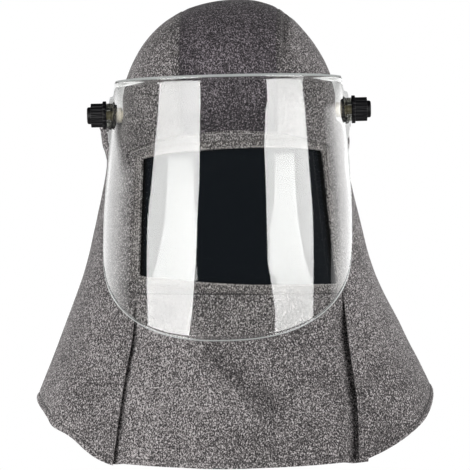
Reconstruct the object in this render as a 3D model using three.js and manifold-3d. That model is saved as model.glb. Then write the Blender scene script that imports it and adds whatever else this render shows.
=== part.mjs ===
// A protective hood of cut-resistant cloth: round crown, shoulder cape, dark face window and a clear
// visor that flips up on two side knobs. Millimetres, +Z up, and the face looks along -Y.
// Left (-X) and right (+X) are as seen from the front.
// The origin is the underside of the crown, where the wearer's head carries the hood.
import * as THREE from "three";
import { mergeVertices } from "three/addons/utils/BufferGeometryUtils.js";
import Module from "manifold-3d";

const wasm = await Module();
wasm.setup();

const LEFT = -1;
const RIGHT = 1;

// Cloth and the gap that a seam leaves between two panels
const CLOTH_THICKNESS = 2;
const SEAM_GAP = 0.8;

// The crown is a dome on the section at its rim. Its width shrinks by 1 - rise ** fall to the power of
// flat, which keeps its top broad, and towards the top it leans to the right.
const CROWN = { top: 2, rim: -88, fall: 1.5, flat: 0.42, lean: 6, leanPower: 5 };

// Horizontal sections of the hood, from the crown's rim to below the hem: half is the half width, shift
// moves the section in X, front and back are its ends in Y, wide is the Y of its widest place, and
// square is the exponent of its outline, with 2 for an ellipse.
const SECTIONS = [
  { z: -88, half: 96.5, shift: 0, front: -107, wide: 0, back: 108, square: 2 },
  { z: -102, half: 96.5, shift: 0, front: -107, wide: 2, back: 110, square: 2 },
  { z: -117, half: 100, shift: -1, front: -103, wide: 14, back: 110, square: 2 },
  { z: -130, half: 105, shift: -2.6, front: -106, wide: 30, back: 109, square: 2 },
  { z: -160, half: 112, shift: -3.6, front: -110, wide: 46, back: 108, square: 2 },
  { z: -200, half: 121, shift: -3.8, front: -112, wide: 52, back: 108, square: 2 },
  { z: -250, half: 134.5, shift: -4.4, front: -113, wide: 48, back: 112, square: 2 },
  { z: -300, half: 155.5, shift: -2.5, front: -118, wide: 36, back: 121, square: 2.1 },
  { z: -350, half: 177.5, shift: -1.2, front: -131, wide: 24, back: 134, square: 2.2 },
  { z: -415, half: 203, shift: -1.2, front: -151, wide: 14, back: 152, square: 2.3 },
];

// The hem hangs lowest in front and is lifted by the shoulders at the sides. A flap's hem falls from the side
// to its front corner by a power of the way along it, and the left one has a shallow wave on its last stretch.
const HEM = { middle: -411, side: -353, back: -396, backFall: 1.4, reach: 104 };
const FLAPS = {
  left: { corner: -406, bib: -404.2, fall: 2.1, wave: 1.6 },
  right: { corner: -409, bib: -407, fall: 1.5, wave: 0 },
};
const HEM_WAVE = { start: 0.55, length: 0.32 };

// Seams between the front panel and the side panels, as X at a height. From the slit's top down the panels
// are loose: the bib dips behind each flap and runs on a little way under it.
const FRONT_SEAMS = [
  { z: -133, left: -90, right: 90 },
  { z: -200, left: -87, right: 94 },
  { z: -250, left: -86, right: 97 },
  { z: -290, left: -88.5, right: 99 },
  { z: -330, left: -96, right: 103 },
  { z: -365, left: -102, right: 106 },
  { z: -410, left: -108.5, right: 105.5 },
];
const SLIT = { top: -255, underTop: -263, fade: 25 };
const TUCKS = {
  left: { depth: 5, width: 9, under: 5 },
  right: { depth: 12, width: 12, under: 11 },
};

// The forehead seam is an arch over the front panel, from corner to corner
const FOREHEAD_SEAM = { middle: -118, corner: -133, half: 90 };

// The centre gusset runs from the forehead over the crown and widens down the back
const GUSSET = { half: 43, hemHalf: 62 };

// Cloth relief: a crease along the crown's seams, a bulge below each post, and drapes down the cape.
// Azimuth is in degrees round the hood from the front, positive to the right.
const CREASE = { depth: 0.8, width: 5, bottom: -112 };
const BULGES = {
  left: { y: 44, z: -114, height: 17, spreadY: 17, above: 8, below: 14 },
  right: { y: 42, z: -120, height: 7, spreadY: 20, above: 11, below: 11 },
};
// Full cheeks flatten the face between them. They start at the forehead seam and die away down the front.
const CHEEKS = [
  { x: -50, height: 4.3 },
  { x: 52, height: 6 },
];
const CHEEK = { spread: 22, top: -119, full: -140, bottom: -320 };
const DRAPE_TOP = -225;
const DRAPES = [
  { azimuth: -4, spread: 9, height: -2.5 },
  { azimuth: -64, spread: 8, height: 3 },
  { azimuth: 66, spread: 8, height: 3 },
  { azimuth: -118, spread: 12, height: 5 },
  { azimuth: 118, spread: 12, height: 5 },
  { azimuth: -142, spread: 10, height: -4 },
  { azimuth: 142, spread: 10, height: -4 },
  { azimuth: -166, spread: 11, height: 4 },
  { azimuth: 166, spread: 11, height: 4 },
];

// Face window: corners of the opening in X and Z, and how far its top and bottom edges bow outwards
const WINDOW = {
  topLeft: { x: -76, z: -140 },
  topRight: { x: 80.5, z: -136 },
  bottomLeft: { x: -82, z: -243 },
  bottomRight: { x: 88, z: -252 },
  bowTop: 5,
  bowBottom: 3,
  halfWidth: 82,
  halfHeight: 55,
  cornerRadius: 4,
};
const FRAME = { width: 8, overhang: 1, thickness: 1.6, gap: 0.8 };
const PANE = { margin: 4, thickness: 1.6, gap: 1.6 };

// Visor: a clear sheet, curved round the face, with a lug at each side that the knob clamps
const PIVOT = { y: 0, z: -99 };
const VISOR = { thickness: 2, top: -70.5, bottom: -301, front: -146, square: 2.3, lean: -7 };
const VISOR_WIDTHS = [
  { z: -70, half: 103 },
  { z: -99, half: 105.2 },
  { z: -135, half: 108.5 },
  { z: -180, half: 112 },
  { z: -220, half: 113 },
  { z: -301, half: 113 },
];
// The lower edge is part of an ellipse-like curve from its sides down to its lowest point
const VISOR_FOOT = { half: 110.5, sideZ: -221, square: 2.4 };
const LUG = { radius: 16, below: 26, foreY: -26, rearEdgeY: -37, edgeRun: 6, topCornerRun: 9 };
const BOSS = { radius: 10.5, from: 104.2, to: 109.9, bore: 4.5 };

// Side fittings, as distances from the middle along X. A post is a fixed stud with a bush outside the
// cloth and a flange inside it, and the knob turns on its end.
const POST_STACK = [
  { name: "flange", from: 91, to: 92.8, radius: 11 },
  { name: "stem", from: 92.8, to: 97.6, radius: 4 },
  { name: "bush", from: 97.6, to: 102.6, radius: 6.8 },
  { name: "stud", from: 102.6, to: 119.4, radius: 4 },
];
const POST_HOLE = 4.6;
const WASHER = { from: 102.8, to: 103.9, radius: 11.5, bore: 4.6 };
const KNOB = {
  flange: { from: 110.3, to: 113.5, radius: 12.6 },
  body: { from: 113.5, to: 124.2, radius: 10.8, flutes: 16, fluteDepth: 0.9 },
  cap: { from: 124.2, to: 127.8, radius: 7.7 },
  bore: 4.4,
  boreEnd: 119.8,
};
const ROUND_SIDES = 24;
// Drills run clear of a fitting at both ends, and joined lengths reach into each other
const DRILL = { from: 80, to: 118 };
const JOIN_REACH = 0.2;

const COLOURS = {
  cloth: 0x75726f,
  band: 0x807c79,
  pane: 0x12171c,
  visor: 0xe4e8ea,
  knob: 0x1c1b20,
  bush: 0xc7c0ae,
};

const { lerp, clamp, smoothstep, degToRad, radToDeg } = THREE.MathUtils;

// Value of a table's named column at a height, by a cubic through the rows
function columnAt(rows, name, z) {
  const last = rows.length - 1;
  let i = 0;
  while (i < last - 1 && z < rows[i + 1].z) i += 1;
  const slope = (k) => {
    const above = rows[Math.max(k - 1, 0)];
    const below = rows[Math.min(k + 1, last)];
    return (below[name] - above[name]) / (below.z - above.z);
  };
  const span = rows[i + 1].z - rows[i].z;
  const u = clamp((z - rows[i].z) / span, 0, 1);
  const rise = u * u * (3 - 2 * u);
  const ends = lerp(rows[i][name], rows[i + 1][name], rise);
  const tangents = slope(i) * u * (1 - u) ** 2 - slope(i + 1) * u * u * (1 - u);
  return ends + tangents * span;
}

function crownRise(z) {
  return Math.max((z - CROWN.rim) / (CROWN.top - CROWN.rim), 0);
}

function crownLean(z) {
  return CROWN.lean * crownRise(z) ** CROWN.leanPower;
}

// Height on the crown at which its sections have shrunk to a share of the rim
function crownHeight(share) {
  return lerp(CROWN.rim, CROWN.top, (1 - share ** (1 / CROWN.flat)) ** (1 / CROWN.fall));
}

// The hood's horizontal section at a height
function sectionAt(z) {
  const at = {};
  for (const name of ["half", "shift", "front", "wide", "back", "square"]) {
    at[name] = columnAt(SECTIONS, name, Math.min(z, CROWN.rim));
  }
  if (z > CROWN.rim) {
    const share = Math.max(1 - crownRise(z) ** CROWN.fall, 0) ** CROWN.flat;
    at.shift += crownLean(z);
    at.half *= share;
    at.front = lerp(at.wide, at.front, share);
    at.back = lerp(at.wide, at.back, share);
  }
  return at;
}

// Point of a section at an angle from its side: negative towards the front, positive towards the back
function sectionPoint(side, angle, z) {
  const at = sectionAt(z);
  const power = 2 / at.square;
  const length = angle < 0 ? at.front - at.wide : at.back - at.wide;
  const x = at.shift + side * at.half * Math.cos(angle) ** power;
  return new THREE.Vector3(x, at.wide + length * Math.abs(Math.sin(angle)) ** power, z);
}

// Angle at which a section reaches a given X
function sectionAngle(side, x, z) {
  const at = sectionAt(z);
  const share = clamp((side * (x - at.shift)) / at.half, 0, 1);
  return Math.acos(share ** (at.square / 2));
}

// Point on the front or the back of the hood, straight out from X and Z
function facePoint(x, z, isBack) {
  const at = sectionAt(z);
  const share = Math.min(Math.abs((x - at.shift) / at.half), 1);
  const length = isBack ? at.back - at.wide : at.front - at.wide;
  return new THREE.Vector3(x, at.wide + length * (1 - share ** at.square) ** (1 / at.square), z);
}

// How far the cloth stands off the smooth form, along its normal
function clothRelief(p) {
  const azimuth = radToDeg(Math.atan2(p.x, -p.y));
  const hang = smoothstep(DRAPE_TOP - p.z, 0, DRAPE_TOP - HEM.side);
  let off = 0;
  for (const drape of DRAPES) {
    off += drape.height * hang * Math.exp(-(((azimuth - drape.azimuth) / drape.spread) ** 2));
  }
  const fromSeam = (Math.abs(p.x - crownLean(p.z)) - GUSSET.half) / CREASE.width;
  const onCrown = smoothstep(p.z, CREASE.bottom, CROWN.rim);
  off -= CREASE.depth * onCrown * Math.exp(-fromSeam * fromSeam);
  const bulge = p.x < 0 ? BULGES.left : BULGES.right;
  const acrossBulge = (p.y - bulge.y) / bulge.spreadY;
  const upBulge = (p.z - bulge.z) / (p.z > bulge.z ? bulge.above : bulge.below);
  off += bulge.height * Math.exp(-acrossBulge * acrossBulge - upBulge * upBulge);
  return off;
}

// The front panel is full at the cheeks and dips behind the flaps along its slits
function frontRelief(p) {
  const above = smoothstep(CHEEK.top - p.z, 0, CHEEK.top - CHEEK.full);
  const below = smoothstep(p.z, CHEEK.bottom, CHEEK.full);
  let fullness = 0;
  for (const cheek of CHEEKS) {
    fullness += cheek.height * above * below * Math.exp(-(((p.x - cheek.x) / CHEEK.spread) ** 2));
  }
  const open = smoothstep(SLIT.top - p.z, 0, SLIT.fade);
  const dip = (side, tuck) => {
    const inside = side * (frontSeam(side, p.z) - p.x);
    return tuck.depth * open * (1 - smoothstep(inside, 0, tuck.width));
  };
  return clothRelief(p) + fullness - dip(LEFT, TUCKS.left) - dip(RIGHT, TUCKS.right);
}

function frontSeam(side, z) {
  return columnAt(FRONT_SEAMS, side === LEFT ? "left" : "right", z);
}

function foreheadSeam(x) {
  const drop = FOREHEAD_SEAM.middle - FOREHEAD_SEAM.corner;
  return FOREHEAD_SEAM.middle - drop * (x / FOREHEAD_SEAM.half) ** 2;
}

// X of a side panel's front edge at a height: the front seam, then the forehead seam, then the gusset
function sideFrontEdge(side, z) {
  const halfGap = SEAM_GAP / 2;
  if (z <= FOREHEAD_SEAM.corner) return frontSeam(side, z) + side * halfGap;
  const gussetEdge = GUSSET.half + halfGap;
  const drop = FOREHEAD_SEAM.middle - FOREHEAD_SEAM.corner;
  const share = clamp((FOREHEAD_SEAM.middle + SEAM_GAP - z) / drop, 0, 1);
  return crownLean(z) + side * Math.max((FOREHEAD_SEAM.half + halfGap) * Math.sqrt(share), gussetEdge);
}

function gussetBackHalf(z) {
  return lerp(GUSSET.half, GUSSET.hemHalf, smoothstep(CROWN.rim - z, 0, CROWN.rim - HEM.back));
}

// Closed wall of even thickness on a surface that place gives for s and t from 0 to 1, with s across
// and t along turned so that the outer face is the one that s-by-t faces
function wall(place, columns, rows, thickness, relief) {
  const step = 1e-3;
  const outer = [];
  const inner = [];
  for (let r = 0; r <= rows; r += 1) {
    for (let c = 0; c <= columns; c += 1) {
      const s = c / columns;
      const t = r / rows;
      const across = place(Math.min(s + step, 1), t).sub(place(Math.max(s - step, 0), t));
      const along = place(s, Math.min(t + step, 1)).sub(place(s, Math.max(t - step, 0)));
      const normal = across.cross(along).normalize();
      const point = place(s, t);
      point.addScaledVector(normal, relief(point));
      outer.push(point);
      inner.push(point.clone().addScaledVector(normal, -thickness));
    }
  }
  const count = outer.length;
  const at = (r, c) => r * (columns + 1) + c;
  const index = [];
  for (let r = 0; r < rows; r += 1) {
    for (let c = 0; c < columns; c += 1) {
      const [a, b, d, e] = [at(r, c), at(r, c + 1), at(r + 1, c + 1), at(r + 1, c)];
      index.push(a, b, d, a, d, e);
      index.push(count + a, count + d, count + b, count + a, count + e, count + d);
    }
  }
  const rim = [];
  for (let c = 0; c < columns; c += 1) rim.push(at(0, c));
  for (let r = 0; r < rows; r += 1) rim.push(at(r, columns));
  for (let c = columns; c > 0; c -= 1) rim.push(at(rows, c));
  for (let r = rows; r > 0; r -= 1) rim.push(at(r, 0));
  rim.forEach((i, k) => {
    const j = rim[(k + 1) % rim.length];
    index.push(j, i, count + i, j, count + i, count + j);
  });
  return new THREE.BufferGeometry().setFromPoints([...outer, ...inner]).setIndex(index);
}

// Booleans on closed geometries
function solidOf(geometry) {
  const bare = geometry.clone();
  bare.deleteAttribute("normal");
  bare.deleteAttribute("uv");
  const merged = mergeVertices(bare, 1e-4);
  return new wasm.Manifold(
    new wasm.Mesh({
      numProp: 3,
      vertProperties: merged.attributes.position.array,
      triVerts: new Uint32Array(merged.index.array),
    }),
  );
}

function geometryOf(solid) {
  const mesh = solid.getMesh();
  const geometry = new THREE.BufferGeometry();
  geometry.setAttribute("position", new THREE.BufferAttribute(mesh.vertProperties, 3));
  geometry.setIndex(new THREE.BufferAttribute(mesh.triVerts, 1));
  return geometry;
}

const cut = (body, ...tools) =>
  geometryOf(tools.reduce((left, tool) => left.subtract(solidOf(tool)), solidOf(body)));
const join = (body, ...others) =>
  geometryOf(others.reduce((whole, other) => whole.add(solidOf(other)), solidOf(body)));

// Round bar along X on the pivot line, between two distances from the middle
function pivotRod(side, { from, to, radius }) {
  const rod = new THREE.CylinderGeometry(radius, radius, to - from, ROUND_SIDES);
  rod.rotateZ(Math.PI / 2);
  return rod.translate((side * (from + to)) / 2, PIVOT.y, PIVOT.z);
}

// Side panel: rows climb from the hem past the forehead seam and over the crown to the gusset's edge
const SIDE_ROWS = { cape: 10, forehead: 3, temple: 3, crown: 6 };
const SIDE_COLUMNS = 17;
const APEX_MARGIN = 1.008;

function sideRowHeight(k) {
  const gussetCorner = foreheadSeam(GUSSET.half);
  let left = k;
  if (left <= SIDE_ROWS.cape) return lerp(HEM.side, FOREHEAD_SEAM.corner, left / SIDE_ROWS.cape);
  left -= SIDE_ROWS.cape;
  if (left <= SIDE_ROWS.forehead) {
    return lerp(FOREHEAD_SEAM.corner, gussetCorner, left / SIDE_ROWS.forehead);
  }
  left -= SIDE_ROWS.forehead;
  if (left <= SIDE_ROWS.temple) return lerp(gussetCorner, CROWN.rim, left / SIDE_ROWS.temple);
  left -= SIDE_ROWS.temple;
  // The last row stops just short of the gusset edge's highest point, where the panel has no width
  const apexShare = ((GUSSET.half + SEAM_GAP / 2) / SECTIONS[0].half) * APEX_MARGIN;
  return crownHeight(Math.cos((Math.acos(apexShare) * left) / SIDE_ROWS.crown));
}

function sidePoint(side, s, t) {
  const rows = SIDE_ROWS.cape + SIDE_ROWS.forehead + SIDE_ROWS.temple + SIDE_ROWS.crown;
  const level = sideRowHeight(t * rows);
  const hang = smoothstep(HEM.side + HEM.reach - level, 0, HEM.reach);
  const flap = side === LEFT ? FLAPS.left : FLAPS.right;
  const frontZ = level + (flap.corner - HEM.side) * hang;
  const backZ = level + (HEM.back - HEM.side) * hang;
  const backEdge = gussetBackHalf(backZ) + SEAM_GAP / 2;
  const frontAngle = sectionAngle(side, sideFrontEdge(side, frontZ), frontZ);
  const backAngle = sectionAngle(side, crownLean(backZ) + side * backEdge, backZ);
  const angle = lerp(-frontAngle, backAngle, s);
  if (angle >= 0) {
    const way = Math.sin(angle) / Math.sin(backAngle);
    return sectionPoint(side, angle, lerp(level, backZ, way ** HEM.backFall));
  }
  const way = Math.sin(-angle) / Math.sin(frontAngle);
  const turns = Math.max(way - HEM_WAVE.start, 0) / HEM_WAVE.length;
  const wave = flap.wave * hang * Math.sin(2 * Math.PI * turns);
  return sectionPoint(side, angle, lerp(level, frontZ, way ** flap.fall) - wave);
}

function sidePanel(side) {
  const rows = SIDE_ROWS.cape + SIDE_ROWS.forehead + SIDE_ROWS.temple + SIDE_ROWS.crown;
  const place = (s, t) => sidePoint(side, side === LEFT ? 1 - s : s, t);
  const panel = wall(place, SIDE_COLUMNS, rows, CLOTH_THICKNESS, clothRelief);
  return cut(panel, pivotRod(side, { ...DRILL, radius: POST_HOLE }));
}

// Centre gusset: up the forehead, over the crown and down the back to the hem
const GUSSET_ROWS = { forehead: 2, crown: 18, back: 14 };
const GUSSET_COLUMNS = 8;

function gussetPoint(s, t) {
  const k = t * (GUSSET_ROWS.forehead + GUSSET_ROWS.crown + GUSSET_ROWS.back);
  const half = GUSSET.half - SEAM_GAP / 2;
  const x = lerp(-half, half, s);
  if (k <= GUSSET_ROWS.forehead) {
    const bottom = foreheadSeam(x) + SEAM_GAP;
    return facePoint(x, lerp(bottom, CROWN.rim, k / GUSSET_ROWS.forehead), false);
  }
  const overCrown = (k - GUSSET_ROWS.forehead) / GUSSET_ROWS.crown;
  if (overCrown <= 1) {
    const rim = SECTIONS[0];
    const pitch = Math.PI * overCrown;
    const reach = Math.sqrt(1 - (x / rim.half) ** 2);
    const length = pitch < Math.PI / 2 ? rim.wide - rim.front : rim.back - rim.wide;
    const y = rim.wide - length * reach * Math.cos(pitch);
    const z = crownHeight(Math.sqrt(1 - (reach * Math.sin(pitch)) ** 2));
    return new THREE.Vector3(x + crownLean(z), y, z);
  }
  const down = (k - GUSSET_ROWS.forehead - GUSSET_ROWS.crown) / GUSSET_ROWS.back;
  const z = lerp(CROWN.rim, HEM.back, down);
  const backHalf = gussetBackHalf(z) - SEAM_GAP / 2;
  return facePoint(lerp(-backHalf, backHalf, s), z, true);
}

function crownBackPanel() {
  const rows = GUSSET_ROWS.forehead + GUSSET_ROWS.crown + GUSSET_ROWS.back;
  return wall(gussetPoint, GUSSET_COLUMNS, rows, CLOTH_THICKNESS, clothRelief);
}

// Front panel: face cloth and bib in one, from the hem to the forehead seam
const FRONT_COLUMNS = 18;
const FRONT_ROWS = 18;

function frontPoint(s, t) {
  const leftZ = lerp(FLAPS.left.bib, FOREHEAD_SEAM.corner, t);
  const rightZ = lerp(FLAPS.right.bib, FOREHEAD_SEAM.corner, t);
  const loose = (z) => smoothstep(SLIT.underTop - z, 0, SLIT.fade);
  const left = frontSeam(LEFT, leftZ) + SEAM_GAP / 2 - TUCKS.left.under * loose(leftZ);
  const right = frontSeam(RIGHT, rightZ) - SEAM_GAP / 2 + TUCKS.right.under * loose(rightZ);
  const hemBow = HEM.middle - (FLAPS.left.bib + FLAPS.right.bib) / 2;
  const seamBow = FOREHEAD_SEAM.middle - FOREHEAD_SEAM.corner;
  const bow = lerp(hemBow, seamBow, t) * (1 - (2 * s - 1) ** 2);
  return facePoint(lerp(left, right, s), lerp(leftZ, rightZ, s) + bow, false);
}

// Window opening: a rounded rectangle whose u and v go from -1 to 1, stretched onto the four corners
function windowXZ(u, v) {
  const across = (u + 1) / 2;
  const up = (v + 1) / 2;
  const topX = lerp(WINDOW.topLeft.x, WINDOW.topRight.x, across);
  const topZ = lerp(WINDOW.topLeft.z, WINDOW.topRight.z, across);
  const bottomX = lerp(WINDOW.bottomLeft.x, WINDOW.bottomRight.x, across);
  const bottomZ = lerp(WINDOW.bottomLeft.z, WINDOW.bottomRight.z, across);
  const bow = lerp(-WINDOW.bowBottom, WINDOW.bowTop, up) * (1 - u * u);
  return new THREE.Vector2(lerp(bottomX, topX, up), lerp(bottomZ, topZ, up) + bow);
}

const EDGE_STEPS = { horizontal: 14, vertical: 7, corner: 3 };

// Points round the opening, moved outwards by a margin
function windowRing(margin) {
  const { halfWidth, halfHeight, cornerRadius } = WINDOW;
  const points = [];
  for (let corner = 0; corner < 4; corner += 1) {
    const signX = corner === 0 || corner === 3 ? 1 : -1;
    const signZ = corner < 2 ? 1 : -1;
    const centreX = signX * (halfWidth - cornerRadius);
    const centreZ = signZ * (halfHeight - cornerRadius);
    for (let k = 0; k <= EDGE_STEPS.corner; k += 1) {
      const angle = degToRad(90 * (corner + k / EDGE_STEPS.corner));
      const radius = cornerRadius + margin;
      const x = centreX + radius * Math.cos(angle);
      points.push(new THREE.Vector2(x, centreZ + radius * Math.sin(angle)));
    }
    const isTopOrBottom = corner % 2 === 0;
    const steps = isTopOrBottom ? EDGE_STEPS.horizontal : EDGE_STEPS.vertical;
    const from = points[points.length - 1];
    const to = from.clone();
    if (isTopOrBottom) to.x = -centreX;
    else to.y = -centreZ;
    for (let k = 1; k < steps; k += 1) points.push(from.clone().lerp(to, k / steps));
  }
  return points.map((p) => windowXZ(p.x / halfWidth, p.y / halfHeight));
}

function frontPanel() {
  const panel = wall(frontPoint, FRONT_COLUMNS, FRONT_ROWS, CLOTH_THICKNESS, frontRelief);
  const opening = new THREE.ExtrudeGeometry(new THREE.Shape(windowRing(0)), {
    depth: -VISOR.front,
    bevelEnabled: false,
  });
  opening.rotateX(Math.PI / 2);
  return cut(panel, opening);
}

// Point above the front panel's face by a lift along its normal
function liftedFacePoint(xz, lift) {
  const step = 0.05;
  const right = facePoint(xz.x + step, xz.y, false).sub(facePoint(xz.x - step, xz.y, false));
  const up = facePoint(xz.x, xz.y + step, false).sub(facePoint(xz.x, xz.y - step, false));
  const normal = right.cross(up).normalize();
  const point = facePoint(xz.x, xz.y, false);
  return point.addScaledVector(normal, frontRelief(point) + lift);
}

// Stitched band round the opening: a flat rectangular section carried round the ring
function windowFrame() {
  const low = FRAME.gap;
  const high = FRAME.gap + FRAME.thickness;
  const innerRing = windowRing(-FRAME.overhang);
  const outerRing = windowRing(FRAME.width);
  const points = [];
  innerRing.forEach((inner, k) => {
    const outer = outerRing[k];
    points.push(liftedFacePoint(inner, low), liftedFacePoint(inner, high));
    points.push(liftedFacePoint(outer, high), liftedFacePoint(outer, low));
  });
  const index = [];
  innerRing.forEach((_, k) => {
    const here = 4 * k;
    const next = 4 * ((k + 1) % innerRing.length);
    for (let i = 0; i < 4; i += 1) {
      const j = (i + 1) % 4;
      index.push(here + i, here + j, next + j, here + i, next + j, next + i);
    }
  });
  return new THREE.BufferGeometry().setFromPoints(points).setIndex(index);
}

// Dark sheet behind the opening, a margin larger all round
const PANE_COLUMNS = 14;
const PANE_ROWS = 9;

function windowPane() {
  const reachU = 1 + PANE.margin / WINDOW.halfWidth;
  const reachV = 1 + PANE.margin / WINDOW.halfHeight;
  const place = (s, t) => {
    const xz = windowXZ(lerp(-reachU, reachU, s), lerp(-reachV, reachV, t));
    return facePoint(xz.x, xz.y, false);
  };
  const behind = -CLOTH_THICKNESS - PANE.gap;
  return wall(place, PANE_COLUMNS, PANE_ROWS, PANE.thickness, (p) => frontRelief(p) + behind);
}

// Stations along the visor's section, from the left lug's end round the front to the right lug's end
const LUG_STATIONS = [15.4, 13.6, 10.5, 6, 0, -10, -20, -26, -30, -32, -34, -36, -38.5, -43];
const FRONT_STATIONS = 18;
const VISOR_ROWS = 8;

// Share of the half width at a depth in front of the pivot. Behind the rear edge the lug runs on straight.
function visorShare(y) {
  const depth = -VISOR.front;
  const share = (d) => (1 - (d / depth) ** VISOR.square) ** (1 / VISOR.square);
  const edge = -LUG.rearEdgeY;
  if (-y >= edge) return share(Math.min(-y, depth));
  const flare = (edge / depth) ** (VISOR.square - 1) * share(edge) ** (1 - VISOR.square) / depth;
  return share(edge) + flare * (edge + y);
}

function visorStations() {
  const first = LUG_STATIONS[LUG_STATIONS.length - 1];
  const startAngle = Math.acos((first / VISOR.front) ** (VISOR.square / 2));
  const stations = LUG_STATIONS.map((y) => ({ side: LEFT, y }));
  for (let k = 1; k < FRONT_STATIONS; k += 1) {
    const angle = lerp(-startAngle, startAngle, k / FRONT_STATIONS);
    const y = VISOR.front * Math.cos(angle) ** (2 / VISOR.square);
    stations.push({ side: angle < 0 ? LEFT : RIGHT, y });
  }
  return [...stations, ...[...LUG_STATIONS].reverse().map((y) => ({ side: RIGHT, y }))];
}

function visorTop(y) {
  const lugTop = PIVOT.z + Math.sqrt(LUG.radius ** 2 - Math.max(y, 0) ** 2);
  const corner = smoothstep(y, LUG.rearEdgeY - LUG.topCornerRun, LUG.rearEdgeY + LUG.topCornerRun);
  return lerp(VISOR.top, lugTop, corner);
}

function visorFoot(y) {
  const widest = VISOR_WIDTHS[VISOR_WIDTHS.length - 1].half;
  const share = Math.min((widest * visorShare(Math.min(y, LUG.rearEdgeY))) / VISOR_FOOT.half, 1);
  const fall = (1 - share ** VISOR_FOOT.square) ** (1 / VISOR_FOOT.square);
  const sheetFoot = VISOR_FOOT.sideZ - (VISOR_FOOT.sideZ - VISOR.bottom) * fall;
  const round = Math.sqrt(LUG.radius ** 2 - Math.max(y, 0) ** 2);
  const slant = smoothstep(-y, 0, -LUG.foreY) * (LUG.below - LUG.radius);
  const rear = smoothstep(y, LUG.rearEdgeY, LUG.rearEdgeY + LUG.edgeRun);
  return lerp(sheetFoot, PIVOT.z - round - slant, rear);
}

function visorPoint(side, y, z) {
  const half = columnAt(VISOR_WIDTHS, "half", z);
  const lean = (VISOR.lean * Math.min(z - PIVOT.z, 0)) / (VISOR.bottom - PIVOT.z);
  return new THREE.Vector3(side * half * visorShare(y) + lean, y, z);
}

function visor() {
  const stations = visorStations();
  const place = (s, t) => {
    const k = s * (stations.length - 1);
    const a = stations[Math.floor(k)];
    const b = stations[Math.min(Math.floor(k) + 1, stations.length - 1)];
    const at = ({ side, y }) => visorPoint(side, y, lerp(visorFoot(y), visorTop(y), t));
    return at(a).lerp(at(b), k - Math.floor(k));
  };
  const sheet = wall(place, stations.length - 1, VISOR_ROWS, VISOR.thickness, () => 0);
  const bosses = [LEFT, RIGHT].map((side) => pivotRod(side, BOSS));
  const bores = [LEFT, RIGHT].map((side) => pivotRod(side, { ...DRILL, radius: BOSS.bore }));
  return cut(join(sheet, ...bosses), ...bores);
}

// Side fittings
function post(side) {
  const [first, ...rest] = POST_STACK.map((row, k) => {
    const reach = k < POST_STACK.length - 1 ? JOIN_REACH : 0;
    return pivotRod(side, { ...row, to: row.to + reach });
  });
  return join(first, ...rest);
}

function washer(side) {
  return cut(pivotRod(side, WASHER), pivotRod(side, { ...DRILL, radius: WASHER.bore }));
}

function knob(side) {
  const { flange, body, cap } = KNOB;
  const outline = new THREE.Shape();
  const points = 4 * body.flutes;
  for (let k = 0; k < points; k += 1) {
    const angle = (2 * Math.PI * k) / points;
    const radius = body.radius - (k % 4 === 0 ? body.fluteDepth : 0);
    const corner = [radius * Math.cos(angle), radius * Math.sin(angle)];
    if (k === 0) outline.moveTo(...corner);
    else outline.lineTo(...corner);
  }
  outline.closePath();
  const length = body.to - body.from + 2 * JOIN_REACH;
  const grip = new THREE.ExtrudeGeometry(outline, { depth: length, bevelEnabled: false });
  grip.rotateY((side * Math.PI) / 2);
  grip.translate(side * (body.from - JOIN_REACH), PIVOT.y, PIVOT.z);
  const whole = join(grip, pivotRod(side, flange), pivotRod(side, cap));
  return cut(whole, pivotRod(side, { from: DRILL.from, to: KNOB.boreEnd, radius: KNOB.bore }));
}

function mesh(name, geometry, colour, roughness, options = {}) {
  const material = new THREE.MeshStandardMaterial({ color: colour, roughness, metalness: 0, ...options });
  const made = new THREE.Mesh(geometry, material);
  made.name = name;
  return made;
}

const hood = new THREE.Group();
hood.add(
  mesh("crown_back_panel", crownBackPanel(), COLOURS.cloth, 0.95),
  mesh("left_side_panel", sidePanel(LEFT), COLOURS.cloth, 0.95),
  mesh("right_side_panel", sidePanel(RIGHT), COLOURS.cloth, 0.95),
  mesh("front_panel", frontPanel(), COLOURS.cloth, 0.95),
  mesh("window_frame", windowFrame(), COLOURS.band, 0.95),
  mesh("window_pane", windowPane(), COLOURS.pane, 0.08),
);

const fittings = new THREE.Group();
fittings.add(mesh("visor", visor(), COLOURS.visor, 0.04, { transparent: true, opacity: 0.3 }));
for (const [name, side] of [
  ["left", LEFT],
  ["right", RIGHT],
]) {
  fittings.add(
    mesh(`${name}_post`, post(side), COLOURS.bush, 0.5),
    mesh(`${name}_washer`, washer(side), COLOURS.knob, 0.45),
    mesh(`${name}_knob`, knob(side), COLOURS.knob, 0.4),
  );
}

const group = new THREE.Group();
group.add(hood, fittings);
export default group;
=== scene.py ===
import functools
import math

import bpy
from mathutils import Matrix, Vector, noise


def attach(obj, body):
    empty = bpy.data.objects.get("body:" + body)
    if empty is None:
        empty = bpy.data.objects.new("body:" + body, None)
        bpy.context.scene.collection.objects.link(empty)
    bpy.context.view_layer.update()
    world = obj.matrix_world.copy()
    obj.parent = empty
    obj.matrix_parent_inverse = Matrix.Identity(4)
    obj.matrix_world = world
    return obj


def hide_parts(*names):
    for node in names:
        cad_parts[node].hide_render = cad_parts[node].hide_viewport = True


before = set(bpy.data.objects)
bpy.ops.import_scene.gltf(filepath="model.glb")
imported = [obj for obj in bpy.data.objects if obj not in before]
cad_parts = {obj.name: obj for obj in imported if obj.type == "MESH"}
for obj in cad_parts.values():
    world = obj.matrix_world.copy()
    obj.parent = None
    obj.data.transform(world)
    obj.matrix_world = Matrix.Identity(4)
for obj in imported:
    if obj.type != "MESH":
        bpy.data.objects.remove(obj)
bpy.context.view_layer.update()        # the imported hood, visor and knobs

mm = 0.001               # sizes below are millimetres, Blender's are metres
leftSide, rightSide = -1, 1
bothSides = ((leftSide, "left"), (rightSide, "right"))
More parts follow.
